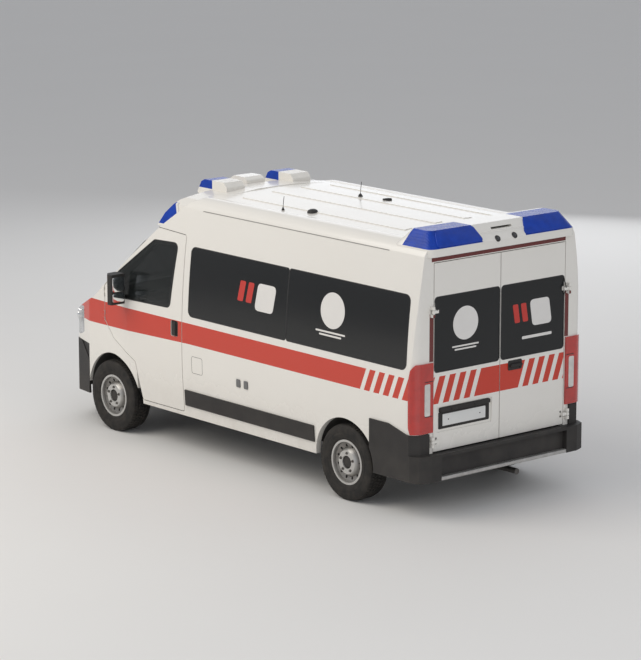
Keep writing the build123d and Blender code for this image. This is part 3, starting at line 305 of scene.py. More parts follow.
MATERIALS = {finish.name: finish.material for finish in [
    body_paint(),
    black_plastic(),
    beacon_plastic(),
    wheel_steel(),
    tyre_rubber(),
    grained("underbody", (0.055, 0.052, 0.048), 0.7, 120),
    grained("grey_plastic", (0.3, 0.3, 0.3), 0.5),
    grained("interior_plastic", (0.1, 0.105, 0.115), 0.55),
    grained("cabinet_white", (0.62, 0.63, 0.62), 0.35, 300, 0.12),
    grained("vinyl", (0.045, 0.09, 0.2), 0.42, 350),
    grained("seal_rubber", (0.016, 0.016, 0.017), 0.62, 500),
    grained("sealant_grey", (0.3, 0.29, 0.27), 0.6, 500),
    grained("plate_white", (0.74, 0.74, 0.72), 0.35, 200, 0.1),
    grained("socket_grey", (0.16, 0.16, 0.16), 0.5),
    grained("film_white", (0.76, 0.74, 0.71), 0.4, 200, 0.08),
    grained("film_red", (0.55, 0.04, 0.03), 0.4, 200, 0.12),
    tint_and_painted_reflection_glass("dark_glass", (0.012, 0.013, 0.014), 0.94),
    # The clear glass is near-black and mostly opaque: its dark colour is a painted reflection
    tint_and_painted_reflection_glass("clear_glass", (0.015, 0.018, 0.018), 0.68),
    lens("lamp_red", (0.52, 0.018, 0.01), 0.14, 700, 2),
    lens("lamp_clear", (0.62, 0.64, 0.66), 0.1, 0, 0, 0.45),
    lens("lens_white", (0.72, 0.7, 0.66), 0.15, 500, 2),
    lens("lens_amber", (0.75, 0.28, 0.03), 0.15, 500, 0),
    lens("lens_dark", (0.02, 0.02, 0.022), 0.1),
    plain_metal("steel_silver", (0.55, 0.54, 0.52), 0.38, 0.75, 14, 0.3),
    plain_metal("cast_metal", (0.075, 0.07, 0.065), 0.65, 0.5, 20, 0.5, (0.1, 0.05, 0.025)),
    plain_metal("dark_steel", (0.16, 0.15, 0.14), 0.45, 0.8, 30),
    plain_metal("reflector", (0.78, 0.79, 0.8), 0.12, 1, 40, 0.1),
    woven_fabric("seat_fabric", (0.045, 0.05, 0.065), (0.1, 0.11, 0.13)),
    Finish("mirror_face", (0.8, 0.82, 0.84), 0.03, Metallic=1),
]}


def dress_frame():
    """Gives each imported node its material."""
    for row in frame["record"]["subparts"]:
        node = row["node"]
        mesh = NODES[node].data
        mesh.materials.clear()
        key = row["material_slot"]
        if node.startswith("wheel_") and node != "wheel_housings":
            key = "wheel_steel"
        mesh.materials.append(MATERIALS["dark_steel" if node == "exhaust" else key])
        for face in mesh.polygons:
            face.material_index = 0


def aimed(name, data, place, aim):
    """Puts a lamp or the camera at a place, looking at another."""
    item = bpy.data.objects.new(name, data)
    item.location = place
    item.rotation_euler = (Vector(aim) - Vector(place)).to_track_quat("-Z", "Y").to_euler()
    bpy.context.scene.collection.objects.link(item)
    return item


def stage_and_light():
    scene = bpy.context.scene
    scene.view_settings.view_transform = "Standard"
    ground = Finish("floor_pale", (0.78, 0.77, 0.75), 0.8).mottled(0.04, 0.5, (0.6, 0.58, 0.55))
    bpy.ops.mesh.primitive_plane_add(size=120, location=(0, 0, 0))
    floor = bpy.context.object
    floor.name = "floor"
    floor.data.materials.append(ground.material)
    scene.world = bpy.data.worlds.new("soft_sky")
    scene.world.use_nodes = True
    background = scene.world.node_tree.nodes["Background"]
    background.inputs["Color"].default_value = (0.93, 0.95, 1, 1)
    background.inputs["Strength"].default_value = 0.5
    # Columns: name, place, aim, watts, colour
    lamps = [("key_light", (9, -3, 9.5), (0, 0.3, 1), 820, (1, 0.95, 0.87)),
             ("rear_fill", (3.5, 13, 6.5), (0, 1.5, 1), 330, (0.95, 0.97, 1)),
             ("far_fill", (-9, -6, 6), (0, 0, 1), 290, (0.95, 0.97, 1))]
    for name, place, aim, watts, color in lamps:
        data = bpy.data.lights.new(name, "AREA")
        data.shape = "DISK"
        data.size = 12
        data.energy = watts
        data.color = color
        aimed(name, data, place, aim)
    data = bpy.data.cameras.new("camera")
    data.lens = CAMERA_LENS
    data.clip_end = 200
    scene.camera = aimed("camera", data, CAMERA_PLACE, CAMERA_AIM)


def caster(names, axis, way, start, missed, straight=False):
    """Finds the surface of nodes along an axis, at a place given by the other two coordinates."""
    points, faces = [], []
    for name in names:
        mesh = NODES[name].data
        first = len(points)
        points += [vertex.co for vertex in mesh.vertices]
        faces += [[first + index for index in face.vertices] for face in mesh.polygons]
    tree = BVHTree.FromPolygons(points, faces)
    out = Vector([way if index == axis else 0 for index in range(3)])

    def cast(*other):
        origin, fallback = [Vector((*other[:axis], value, *other[axis:])) for value in (start, missed)]
        place, normal, *_ = tree.ray_cast(origin, -out)
        if place is None or straight:
            return place or fallback, out
        return place, normal if normal.dot(out) > 0 else -normal
    return cast


def side_caster(names, side):
    """Looks in from the left or the right at a place (y, z)."""
    return caster(names, 0, side, side * 1.5, side)


def end_caster(names, end):
    """Looks along the length at a place (x, z): end 1 is the rear, -1 the front."""
    return caster(names, 1, end, end * 3.2, DOOR_Y if end > 0 else FRONT_Y)


def top_caster(name):
    return caster([name], 2, 1, 3, ROOF_Z)


def facing(origin, out, up=UPWARD):
    """A place in millimetres on a surface: x lies along it, y is up and z points out."""
    z_axis = Vector(out).normalized()
    x_axis = Vector(up).cross(z_axis).normalized()
    matrix = (Matrix((x_axis, z_axis.cross(x_axis), z_axis)).transposed() * MM).to_4x4()
    matrix.translation = origin
    return matrix


def level_place(origin):
    """A place whose z points up and whose y points to the rear."""
    return facing(origin, UPWARD, REARWARD)


def seated(cast, first, second, out=None):
    """The place that a caster finds, facing along its normal or as told."""
    place, normal = cast(first, second)
    return facing(place, out or normal)


def span(side, inner, outer):
    """Two distances from the middle as low and high x on one side."""
    return sorted((side * inner, side * outer))


def on_side(points):
    """Points (distance behind the front axle, height) as (y, z)."""
    return [(behind(y), z) for y, z in points]


def spaced(start, end, count):
    """Evenly spaced numbers from start to end."""
    return [start + (end - start) * step / (count - 1) for step in range(count)]


def rounded(x0, x1, y0, y1, radius, steps=5, start_radius=None):
    """A rectangle with round corners. Those at x0 may have a radius of their own."""
    first = start_radius or radius
    corners = [(x1 - radius, y1 - radius, radius, 0), (x0 + first, y1 - first, first, 90),
               (x0 + first, y0 + first, first, 180), (x1 - radius, y0 + radius, radius, 270)]
    return [polar(bend, math.radians(angle), x, y) for x, y, bend, start in corners
            for angle in spaced(start, start + 90, steps + 1)]


def centred(half, tall, radius, x=0, y=0, steps=5):
    """A rounded rectangle by half its width, half its height and its middle."""
    return rounded(x - half, x + half, y - tall, y + tall, radius, steps)


def polar(radius, turn, x=0, y=0):
    return x + radius * math.cos(turn), y + radius * math.sin(turn)


def circle(radius, count, x=0, y=0):
    return [polar(radius, 2 * math.pi * step / count, x, y) for step in range(count)]


def dense(points, spacing):
    """A closed outline with points added, to follow a curved panel."""
    result = []
    for before, (x, y), (next_x, next_y) in neighbours(points):
        count = max(1, round(math.hypot(next_x - x, next_y - y) / spacing))
        for step in range(count):
            result.append((x + (next_x - x) * step / count, y + (next_y - y) * step / count))
    return result


def neighbours(points, closed=True):
    """Each point with the ones before and after it. An open run repeats its ends."""
    before, after = (points[-1:], points[:1]) if closed else (points[:1], points[-1:])
    return zip(before + points[:-1], points, points[1:] + after)


def shrunk(points, amount):
    """A closed outline moved inwards by an amount."""
    result = []
    for before, here, after in neighbours([Vector(point) for point in points]):
        along = (after - before).normalized()
        result.append((here.x - along.y * amount, here.y + along.x * amount))
    return result


def softened(points, radius):
    """A closed outline of straight runs with its corners rounded."""
    result = []
    for before, here, after in neighbours([Vector(point) for point in points]):
        back, ahead = (before - here).normalized(), (after - here).normalized()
        half = math.acos(max(-1, min(1, back.dot(ahead)))) / 2
        reach = min(radius / math.tan(half), (before - here).length * 0.45, (after - here).length * 0.45)
        start, end = here + back * reach, here + ahead * reach
        for share in spaced(0, 1, 7):
            result.append(tuple((1 - share) ** 2 * start + 2 * share * (1 - share) * here + share ** 2 * end))
    return result


class Shape:
    """Gathers the faces of one piece. Sizes are in millimetres, in a place of their own."""
    every = []

    def __init__(self, name, key="black_plastic", body="root", sharp=38, replaces=(), padded=False):
        self.name, self.key, self.body = name, key, body
        self.sharp, self.replaces, self.padded = sharp, replaces, padded
        self.points, self.faces = [], []
        self.every.append(self)

    def rings(self, rings, closed=False):
        """Joins rings of points, each to the next. Open ends get a cap."""
        start = len(self.points)
        count = len(rings[0])
        self.points += [point for ring in rings for point in ring]
        for lower in range(len(rings) if closed else len(rings) - 1):
            low = start + lower * count
            high = start + (lower + 1) % len(rings) * count
            for index in range(count):
                after = (index + 1) % count
                self.faces.append((low + index, low + after, high + after, high + index))
        if not closed:
            end = len(self.points)
            self.faces += [range(start, start + count)[::-1], range(end - count, end)]
        return self

    def levels(self, outline, place, rows, closed=False):
        """An outline at several heights. Rows are (height, share across, share along)."""
        return self.rings([[place @ Vector((x * across, y * along, height)) for x, y in outline]
                           for height, across, along in rows], closed)

    def slab(self, outline, place, low, high, bevel=0):
        """An outline drawn out along the place's z, with its top edge eased."""
        rows = [(outline, low), (outline, high - bevel)]
        if bevel:
            rows += [(shrunk(outline, bevel * 0.35), high - bevel * 0.3), (shrunk(outline, bevel), high)]
        return self.rings([[place @ Vector((x, y, z)) for x, y in points] for points, z in rows])

    def turned(self, profile, place, count=32, closed=False):
        """A profile of (radius, height) turned round the place's z."""
        rows = [(height, radius, radius) for radius, height in profile]
        return self.levels(circle(1, count), place, rows, closed)

    def tube(self, path, radius, place=None, sides=8):
        """A round bar along a path, in a place or in metres."""
        path = [place @ Vector(point) if place else Vector(point) for point in path]
        rings = []
        for before, here, after in neighbours(path, False):
            along = (after - before).normalized()
            aside = along.cross(Vector(UPWARD if abs(along.z) < 0.9 else REARWARD)).normalized()
            upward = aside.cross(along)
            rings.append([here + MM * (x * aside + y * upward) for x, y in circle(radius, sides)])
        return self.rings(rings)

    def pull(self, place, half, y, low, high, radius, sides=8):
        """A bar on two legs."""
        legs = [(-half, y, low), (-half, y, high), (half, y, high), (half, y, low)]
        return self.tube(legs, radius, place, sides)

    def strip(self, hits, section, closed=True):
        """A moulding laid on a surface along its hits. The section is (across, out)."""
        rings = []
        for (before, _), (place, normal), (after, _) in neighbours(hits, closed):
            across = normal.cross(after - before).normalized()
            rings.append([place + MM * (across * side + normal * out) for side, out in section])
        return self.rings(rings, closed)

    def line(self, hits, half, low, high, closed=False):
        """A strip with a flat section."""
        return self.strip(hits, [(-half, low), (-half, high), (half, high), (half, low)], closed)

    def patch(self, outline, cast, lift, inner=0.5):
        """A thin film on a curved surface, inside an outline."""
        middle = [sum(point[axis] for point in outline) / len(outline) for axis in (0, 1)]
        rings = []
        for share, height in ((1, -0.5), (1, lift), (inner, lift), (0.02, lift)):
            hits = [cast(*[at + (value - at) * share for at, value in zip(middle, point)])
                    for point in outline]
            rings.append([place + normal * height * MM for place, normal in hits])
        return self.rings(rings)

    def finish(self):
        """Makes the piece, with its material and body."""
        mesh = bpy.data.meshes.new(self.name)
        mesh.from_pydata(self.points, [], self.faces)
        work = bmesh.new()
        work.from_mesh(mesh)
        bmesh.ops.recalc_face_normals(work, faces=work.faces)
        for edge in work.edges:
            edge.smooth = edge.calc_face_angle(math.pi) < math.radians(self.sharp)
        for face in work.faces:
            face.smooth = True
        work.to_mesh(mesh)
        work.free()
        result = bpy.data.objects.new(self.name, mesh)
        bpy.context.scene.collection.objects.link(result)
        mesh.materials.append(MATERIALS[self.key])
        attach(result, self.body)
        if self.replaces:
            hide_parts(*self.replaces)


# Half of the tyre's outline as (radius, distance from its middle), from bead to tread
TYRE_SIDE = [(196.8, 79), (206, 81.5), (208.5, 96), (218, 103), (226, 105.8), (230, 105.2), (240, 108.5),
             (252, 111), (266, 112.2), (270, 110.8), (275, 112.2), (296, 111.5), (314, 109), (320, 107),
             (330, 103.5), (338, 98.5), (342, 92.5), (342.5, 80)]
# Tread ribs: first and second edge, radius at each, lean of the cuts
TREAD_RIBS = [(-97.5, -62, 344, 351.8, 0.1), (-56, -22, 352, 352, -0.25), (-16.5, 16.5, 352, 352, 0.25),
              (22, 56, 352, 352, -0.25), (62, 97.5, 351.8, 344, 0.1)]
TREAD_COUNT = 64
TREAD_PITCH = 2 * math.pi / TREAD_COUNT
TREAD_SHIFT = 0.33
TREAD_SHARE = 0.84
# Rings of a tread block: depth below its face, share of its length, share of its width
TREAD_RINGS = ((11.5, 1, 1), (1.2, 1, 1), (0, 0.9904, 0.976))


def add_wheel(name):
    """The tyre with its tread blocks, the wheel's bolts, cap and valve."""
    low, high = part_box("tyre_" + name)
    body = name + "_wheel_body"
    place = facing((low + high) / 2, (1 if name.endswith("left") else -1, 0, 0))
    profile = TYRE_SIDE + [(radius, -across) for radius, across in reversed(TYRE_SIDE)]
    tyre = Shape("tyre_rubber_" + name, "tyre_rubber", body, 30, ["tyre_" + name])
    tyre.turned(profile, place, 96, closed=True)
    for row, (start, end, low, high, lean) in enumerate(TREAD_RIBS):
        centre = (start + end) / 2
        corners = []
        for across, radius, share in ((start, low, 0), (end, high, 0), (end, high, 1), (start, low, 1)):
            turn = lean * (across - centre) * MM / TYRE_RADIUS
            corners.append((turn + TREAD_PITCH * TREAD_SHARE * (share - 0.5), radius, across - centre))
        for pitch in range(TREAD_COUNT):
            middle = TREAD_PITCH * (pitch + TREAD_SHIFT * row)
            tyre.rings([[place @ Vector((*polar(radius - sunk, middle + turn * along),
                                         centre + across * aside))
                         for turn, radius, across in corners] for sunk, along, aside in TREAD_RINGS])
    bolts = Shape("wheel_bolts_" + name, "dark_steel", body)
    for number in range(5):
        spot = place @ Matrix.Translation((*polar(84, 2 * math.pi * number / 5 + 0.3), 91.5))
        bolts.turned([(14.5, 0), (14.5, 2), (11.5, 4)], spot, 16)
        bolts.slab(circle(9.8, 6), spot, 3, 13.5, 1.5)
    cap = Shape("wheel_cap_" + name, body=body)
    cap.turned([(53.5, 72.5), (53.5, 76.5), (50.5, 81.5), (42, 84.5), (34, 83.8), (24, 85.8), (0.4, 86.6)],
               place, 40)
    cap.tube([(166, 20, 64), (166, 20, 80), (163, 20, 92)], 4.5, place)


# Fixed side panes: name, side, start, end, corner at the start, corner at the end
PANE_END_Y = DOOR_Y - 0.112
SIDE_PANES = [("front_left", 1, behind(1.213), behind(2.638), 0.06, 0.025),
              ("rear_left", 1, behind(2.644), PANE_END_Y, 0.025, 0.06),
              ("front_right", -1, behind(1.225), behind(2.596), 0.06, 0.025),
              ("rear_right", -1, behind(2.672), PANE_END_Y, 0.025, 0.06)]
PANE_Z = (1.338, 1.996)
REAR_PANE_X, REAR_PANE_Z = (0.012, 0.788), (1.303, 1.969)
CAB_DOOR = [(0.47, 0.395), (1.12, 0.395), (1.12, 2.09), (0.668, 2.11), (-0.125, 1.43), (-0.125, 1.09),
            (0.03, 0.93)]
CAB_GLASS = [(0.04, 1.352), (0.93, 1.372), (1.01, 2), (0.64, 1.985), (0.09, 1.59)]
WINDSCREEN = [(-0.85, 1.335), (0.85, 1.335), (0.8, 2.065), (-0.8, 2.065)]
SEAL_SECTION = [(-4, -2), (-4, 1.2), (-1, 2.6), (4, 2.2), (6, 0.4), (6, -2)]
SIDE_NODES = {1: ["side_panel_left", "side_glass", "cab_frame", "cab_door_left", "roof_panel"],
              -1: ["side_panel_right", "sliding_door", "side_glass", "cab_frame", "cab_door_right",
                   "roof_panel"]}


def add_window_seals():
    def add_seal(name, body, cast, outline, spacing=0.05):
        hits = [cast(*point) for point in dense(outline, spacing)]
        Shape(name, "seal_rubber", body).strip(hits, SEAL_SECTION)
    for name, side, start, end, first, last in SIDE_PANES:
        outline = rounded(start, end, *PANE_Z, last, start_radius=first)
        add_seal("pane_seal_" + name, "root", side_caster(SIDE_NODES[side], side), outline, 0.08)
    for side, name in SIDES:
        cast = side_caster([f"cab_door_{name}", f"cab_door_glass_{name}"], side)
        outline = softened(on_side(CAB_GLASS), 0.065)
        add_seal("cab_glass_seal_" + name, f"cab_door_{name}_body", cast, outline)
        cast = end_caster([f"rear_door_{name}", f"rear_door_glass_{name}"], 1)
        outline = rounded(*span(side, *REAR_PANE_X), *REAR_PANE_Z, 0.03)
        add_seal("rear_pane_seal_" + name, f"rear_door_{name}_body", cast, outline, 0.08)
    cast = end_caster(["windscreen", "cab_frame"], -1)
    add_seal("windscreen_seal", "root", cast, softened(WINDSCREEN, 0.075))


def add_door_seals():
    """Weather strips in the gaps round the doors, and the sealant of the gutter."""
    for side, name in SIDES:
        cast = side_caster([f"cab_door_{name}"], side)
        outline = dense(softened(on_side(CAB_DOOR), 0.03), 0.06)
        hits = []
        for (y, z), inner in zip(outline, shrunk(outline, 0.012)):
            place, normal = cast(*inner)
            hits.append((Vector((place.x, y, z)), normal))
        section = [(-3.3, -30), (-3.3, -12), (1.2, -10), (1.2, -30)]
        Shape("door_seal_" + name, "seal_rubber").strip(hits, section)
    flat = facing((0, DOOR_Y, 0), REARWARD)
    middle = Shape("rear_door_seal", "seal_rubber", "rear_door_left_body")
    middle.slab(rounded(-2.5, 2.5, 600, 2270, 1, 1), flat, -30, -10)
    gutter = Shape("gutter_sealant", "sealant_grey")
    for side, name in SIDES:
        cast = side_caster(SIDE_NODES[side], side)
        gutter.line([cast(y, 2.339) for y in spaced(behind(1.325), behind(3.925), 27)], 4, -2, 2.2)


def add_rear_lamps():
    """Lenses and joints of the tail lamps, the spots over the doors and the siren's mesh."""
    cast = end_caster(["tail_lamps"], 1)
    white, joints = Shape("reversing_lenses", "lens_white"), Shape("tail_lamp_joints", "seal_rubber")
    for side, name in SIDES:
        outline = rounded(*span(side, 0.85, 0.915), 0.93, 1.215, 0.014)
        white.patch(dense(outline, 0.04), cast, 2.2, 0.6)
        for z in (0.925, 1.235):
            joints.line([cast(side * x, z) for x in spaced(0.818, 0.91, 9)], 3, -1, 1.5)
    cast = end_caster(["light_fairings"], 1)
    rims, spots = Shape("scene_lamp_rims"), Shape("scene_lamp_lenses", "lens_dark")
    for x, z in ((0.08, 2.412), (-0.128, 2.417)):
        seat = seated(cast, x, z)
        rims.turned([(30, -4), (30, 3), (27, 6), (22, 6), (21, 1)], seat, 28)
        spots.turned([(21.5, 0), (21.5, 3), (14, 6.5), (0.4, 7.8)], seat, 28)
    mesh = Shape("siren_mesh")
    seat = facing((0, DOOR_Y - 0.08, 0), REARWARD)
    for height in spaced(2488, 2502, 6):
        mesh.slab(rounded(-102, 145, height, height + 1.2, 0.4, 1), seat, 0, 12)


def add_rear_door_details():
    """Plate, handle and hinge bolts on the rear doors."""
    depth = end_caster(["rear_door_left"], 1)(0.425, 0.87)[0].y
    body = "rear_door_left_body"
    seat = facing((0.425, depth, 0.862), REARWARD)
    # The plate's black frame is widened into a dark panel that paints the shadow of the plate's recess
    Shape("rear_plate_frame_and_recess_shade", body=body).slab(rounded(-305, 305, -78, 75, 12), seat, 0, 5, 2)
    Shape("rear_plate", "plate_white", body).slab(centred(258, 53, 6), seat, 4, 7.2, 0.8)
    lamp_seat = facing((0.425, depth, 0.958), REARWARD)
    lamp = Shape("rear_plate_lamp", body=body).slab(centred(300, 19, 8), lamp_seat, 0, 30, 6)
    for x in (-140, 140):
        lamp.slab(rounded(x - 35, x + 35, -14, 12, 4), lamp_seat, 28, 36, 3)
    for x in (-190, 190):
        lamp.turned([(6, 0), (6, 1.5), (4, 3)], seat @ Matrix.Translation((x, 0, 7)), 12)
    seat = seated(end_caster(["rear_door_right"], 1), -0.185, 1.235, REARWARD)
    handle = Shape("rear_door_handle", body="rear_door_right_body")
    handle.slab(centred(85, 45, 16), seat, -2, 6, 3)
    handle.levels(centred(72, 17, 14), seat, [(5, 1, 1), (18, 1, 0.9), (26, 1, 0.8), (30, 1, 0.5)])
    handle.turned([(11, 4), (11, 9), (9, 11)], seat @ Matrix.Translation((60, -33, 0)), 18)
    for side, name in SIDES:
        cast = end_caster([f"rear_door_{name}"], 1)
        bolts = Shape("rear_hinge_bolts_" + name, "dark_steel", f"rear_door_{name}_body")
        for z in (0.668, 0.712, 1.828, 1.872):
            bolts.turned([(9.5, -1), (9.5, 1.5), (6, 3)], seated(cast, side * 0.765, z, REARWARD), 16)


def add_step_tread():
    """Raised bars on the step and ribs on the bumper's top."""
    low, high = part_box("rear_step")
    middle, half, edge = (low + high) / 2, (high.y - low.y) / 2 / MM - 6, (high.x - low.x) / 92
    tread, ribs = Shape("step_tread", "steel_silver"), Shape("bumper_tread")
    for x in spaced(low.x + edge, high.x - edge, 46):
        tread.slab(centred(5, half, 4, steps=2), level_place((x, middle.y, high.z)), -1, 2.5, 1)
    cast = top_caster("rear_bumper")
    for x in spaced(-0.62, 0.62, 52):
        ribs.slab(centred(5, 12, 4, steps=2), level_place(cast(x, DOOR_Y + 0.032)[0]), -1, 2, 1)


def add_side_details():
    """Door handles, fuel flap, sockets and the channel of the slide rail."""
    def upright_handle(name, body, seat, recess, thick, heights):
        handle = Shape(name, body=body).slab(centred(*recess), seat, *thick)
        rows = [(height, share, 1) for height, share in zip(heights, (1, 0.95, 0.8, 0.4))]
        return handle.levels(centred(20, 68, 14), seat, rows)
    for side, name in SIDES:
        seat = seated(side_caster([f"cab_door_{name}"], side), behind(1.005), 1.186, (side, 0, 0))
        handle = upright_handle("cab_door_handle_" + name, f"cab_door_{name}_body", seat, (53, 74, 12),
                                (-1, 4, 2), (3, 14, 21, 24))
        handle.turned([(10, 2), (10, 6), (8, 8)], seat @ Matrix.Translation((side * 38, -50, 0)), 18)
    seat = seated(side_caster(["sliding_door"], -1), behind(1.285), 1.186)
    upright_handle("sliding_door_handle", "root", seat, (52, 74, 14), (-2, 6, 3), (5, 20, 30, 34))
    cast = side_caster(["side_panel_right"], -1)
    hits = [cast(y, 1.294) for y in spaced(behind(2.66), behind(4.06), 15)]
    Shape("slide_rail_channel", "seal_rubber").line(hits, 8.5, -1, 2)
    cast = side_caster(["side_panel_left"], 1)
    outline = dense(rounded(behind(1.265), behind(1.425), 0.8, 0.96, 0.02), 0.03)
    Shape("fuel_flap_gap", "seal_rubber").line([cast(*point) for point in outline], 1.6, -1, 0.6, closed=True)
    sockets = Shape("side_sockets", "socket_grey")
    for y in (1.965, 2.075):
        seat = seated(cast, behind(y), 0.82)
        sockets.slab(centred(28, 36, 10), seat, -2, 10, 4).tube([(-22, 36, 6), (22, 36, 6)], 5, seat)


def add_films():
    """Plain white and red films on the panes, in place of the signs."""
    def add_film(name, key, body, cast, outlines):
        films = Shape(name, key, body)
        for outline in outlines:
            films.patch(outline, cast, 1.2)

    def leaning(start, width, lean, low, high):
        return [(start, low), (start + width, low), (start + width + lean, high), (start + lean, high)]
    cast = side_caster(["side_glass"], 1)
    lines = [dense(centred(half, 0.008, 0.006, behind(3.25), z, 2), 0.1)
             for z, half in ((1.508, 0.2), (1.478, 0.15))]
    sign = softened(on_side(leaning(2.18, 0.26, 0.04, 1.545, 1.8)), 0.05)
    disc = circle(0.163, 40, behind(3.267), 1.707)
    add_film("side_films_white", "film_white", "root", cast, [disc, *lines, sign])
    bars = [softened(on_side(leaning(y, 0.08, 0.035, 1.6, 1.79)), 0.015) for y in (1.93, 2.05)]
    add_film("side_films_red", "film_red", "root", cast, bars)
    cast = end_caster(["rear_door_glass_left"], 1)
    shapes = [circle(0.15, 40, 0.42, 1.7)]
    shapes += [centred(half, 0.007, 0.006, 0.42, z, 2) for z, half in ((1.5, 0.16), (1.472, 0.13))]
    add_film("rear_films_left", "film_white", "rear_door_left_body", cast, shapes)
    cast = end_caster(["rear_door_glass_right"], 1)
    sign = softened(leaning(-0.64, 0.24, 0.04, 1.56, 1.8), 0.045)
    line = rounded(-0.64, -0.27, 1.452, 1.478, 0.008, 2)
    add_film("rear_films_right", "film_white", "rear_door_right_body", cast, [sign, line])
    bars = [softened(leaning(x, 0.065, 0.03, 1.61, 1.78), 0.015) for x in (-0.345, -0.245)]
    add_film("rear_films_red", "film_red", "rear_door_right_body", cast, bars)


def add_front_lamps():
    """Lamp bowls with their bulbs, fog lenses and the front plate."""
    cast = end_caster(["headlamps"], -1)
    bowls, bulbs = Shape("headlamp_bowls", "reflector"), Shape("headlamp_bulbs", "lens_white")
    # Bowl's profile as (share of its radius, height)
    profile = [(1, 0), (0.95, -4), (0.8, -22), (0.5, -40), (0.25, -48), (0.25, -52), (0.55, -46), (0.88, -26),
               (1.04, -2)]
    for side, name in SIDES:
        # Columns: distance from the middle, height, radius
        for x, z, radius in ((0.64, 0.93, 62), (0.79, 1.015, 70), (0.868, 1.075, 28)):
            seat = facing(cast(side * x, z)[0] + Vector((0, 0.018, 0)), FORWARD)
            bowls.turned([(radius * share, height) for share, height in profile], seat, 28)
            bulbs.turned([(11, -48), (11, -28), (8, -20), (0.4, -18)], seat, 16)
    cast = end_caster(["front_bumper"], -1)
    fog, rims = Shape("fog_lenses", "lens_white"), Shape("fog_rims")
    for side, name in SIDES:
        seat = seated(cast, side * 0.69, 0.48)
        rims.turned([(48, -1), (48, 6), (43, 9), (40, 2)], seat)
        fog.turned([(40.5, 0), (40.5, 4), (25, 10), (0.4, 12)], seat)
    seat = facing((0, cast(0, 0.7)[0].y, 0.7175), FORWARD)
    Shape("front_plate_frame").slab(centred(268, 60, 8), seat, -1, 4, 2)
    Shape("front_plate", "plate_white").slab(centred(258, 52, 6), seat, 3, 6, 0.8)


def add_wipers():
    cast = end_caster(["windscreen", "cab_frame"], -1)
    wipers = Shape("wipers")
    # Columns: pivot and tip as distance across and height
    for pivot_x, pivot_z, tip_x, tip_z in ((0.64, 1.352, 0.04, 1.43), (-0.05, 1.35, -0.65, 1.44)):
        run = [cast(x, z) for x, z in zip(spaced(pivot_x, tip_x, 9), spaced(pivot_z, tip_z, 9))]
        wipers.tube([place + normal * (0.016 + 0.01 * math.sin(math.pi * index / 8))
                     for index, (place, normal) in enumerate(run[:7])], 6)
        wipers.strip([(place + normal * 0.004, normal) for place, normal in run[1:]],
                     [(-2, -3), (-7, 6), (-4, 12), (4, 12), (7, 6), (2, -3)], closed=False)
        wipers.turned([(20, -4), (20, 12), (14, 20), (10, 22)], facing(*run[0]), 20)


def add_grilles():
    """Slats of the cowl's strip, the intake's mesh and the dark sheet behind the grille."""
    cast = end_caster(["cab_frame"], -1)
    cowl = Shape("cowl_grille").line([cast(x, 1.32) for x in spaced(-0.7, 0.7, 21)], 9, -2, 2)
    for x in spaced(-0.68, 0.68, 60):
        cowl.slab(centred(4, 6, 3, steps=2), seated(cast, x, 1.32), 1, 4, 1)
    place = facing((0, behind(-0.895), 0), FORWARD)
    grid = Shape("intake_mesh")
    for x in spaced(-375, 375, 31):
        grid.slab(rounded(x - 1.5, x + 1.5, 390, 628, 1, 1), place, 0, 3)
    for z in spaced(395, 620, 10):
        grid.slab(centred(385, 1.5, 1, 0, z, 1), place, 1, 4)
    low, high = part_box("grille")
    back = facing((0, high.y + 0.006, (low.z + high.z) / 2), FORWARD)
    grid.slab(centred(high.x / MM - 30, (high.z - low.z) / 2 / MM - 12, 10, steps=2), back, 0, 4)


def add_mirror_details():
    for side, name in SIDES:
        body = f"cab_door_{name}_body"
        glass = Shape("mirror_glass_" + name, "mirror_face", body)
        for z, half in ((1.523, 72), (1.392, 44)):
            seat = facing((side * 1.151, behind(0.3), z), REARWARD)
            glass.slab(centred(70, half, 20), seat, -1, 3, 1)
        outline = dense(rounded(*span(side, 1.095, 1.2), 1.57, 1.594, 0.01, 3), 0.02)
        lamp = Shape("mirror_indicator_" + name, "lens_amber", body)
        lamp.patch(outline, end_caster(["mirror_" + name], -1), 3)


def add_bumper_corners():
    """Dark filler between the front bumper's corners and the wings."""
    outline = on_side([(-0.66, 0.803), (-0.412, 0.803), (-0.412, 0.64), (-0.45, 0.64), (-0.66, 0.77)])
    level = 0.82
    corners = Shape("bumper_corners")
    for side, name in SIDES:
        cast = side_caster(["front_wings"], side)
        corners.rings([[cast(y, level)[0] + Vector((-side * depth, 0, z - level)) for y, z in outline]
                       for depth in (0.006, 0.03)])


def add_roof_details():
    """Raised covers on the rear lamps, and the aerials."""
    covers = Shape("rear_lamp_covers", "beacon_blue")
    seat = facing((0, DOOR_Y + 0.045, 2.4), (0, 0.145, 0.107))
    for side, name in SIDES:
        corners = [(side * x, height) for x, height in ((246, 10), (806, 10), (750, 170), (306, 170))]
        covers.slab(softened(corners[::side], 34), seat, -4, 10.5, 4)
    cast = top_caster("roof_panel")
    items = Shape("roof_aerials")
    items.turned([(50, -2), (50, 8), (43, 20), (26, 28), (0.4, 30)], facing(*cast(0.594, 0.763), REARWARD))
    items.slab(centred(45, 22, 12), facing(*cast(-0.266, 0.821), REARWARD), -2, 22, 8)
    # Columns: place of each aerial, its height and its base's radius
    for x, y, height, radius in ((-0.198, 0.521, 140, 22), (0.69, 0.458, 130, 14)):
        seat = level_place(cast(x, y)[0])
        items.turned([(radius, -4), (radius, 6), (radius * 0.6, 20), (4, 30)], seat, 20)
        items.tube([(0, 0, 25), (0, 6, height * 0.6), (0, 16, height)], 2.8, seat)


# Levels of a cushion: share of its outline, share of its depth
PAD_LEVELS = [(0.3, 0), (0.9, 0), (0.975, 0.1), (1, 0.35), (1, 0.62), (0.985, 0.8), (0.955, 0.9),
              (0.945, 0.885), (0.925, 0.93), (0.86, 0.985), (0.74, 1), (0.58, 1), (0.4, 1), (0.22, 1),
              (0.04, 1)]
CHANNEL_SIZE = 7


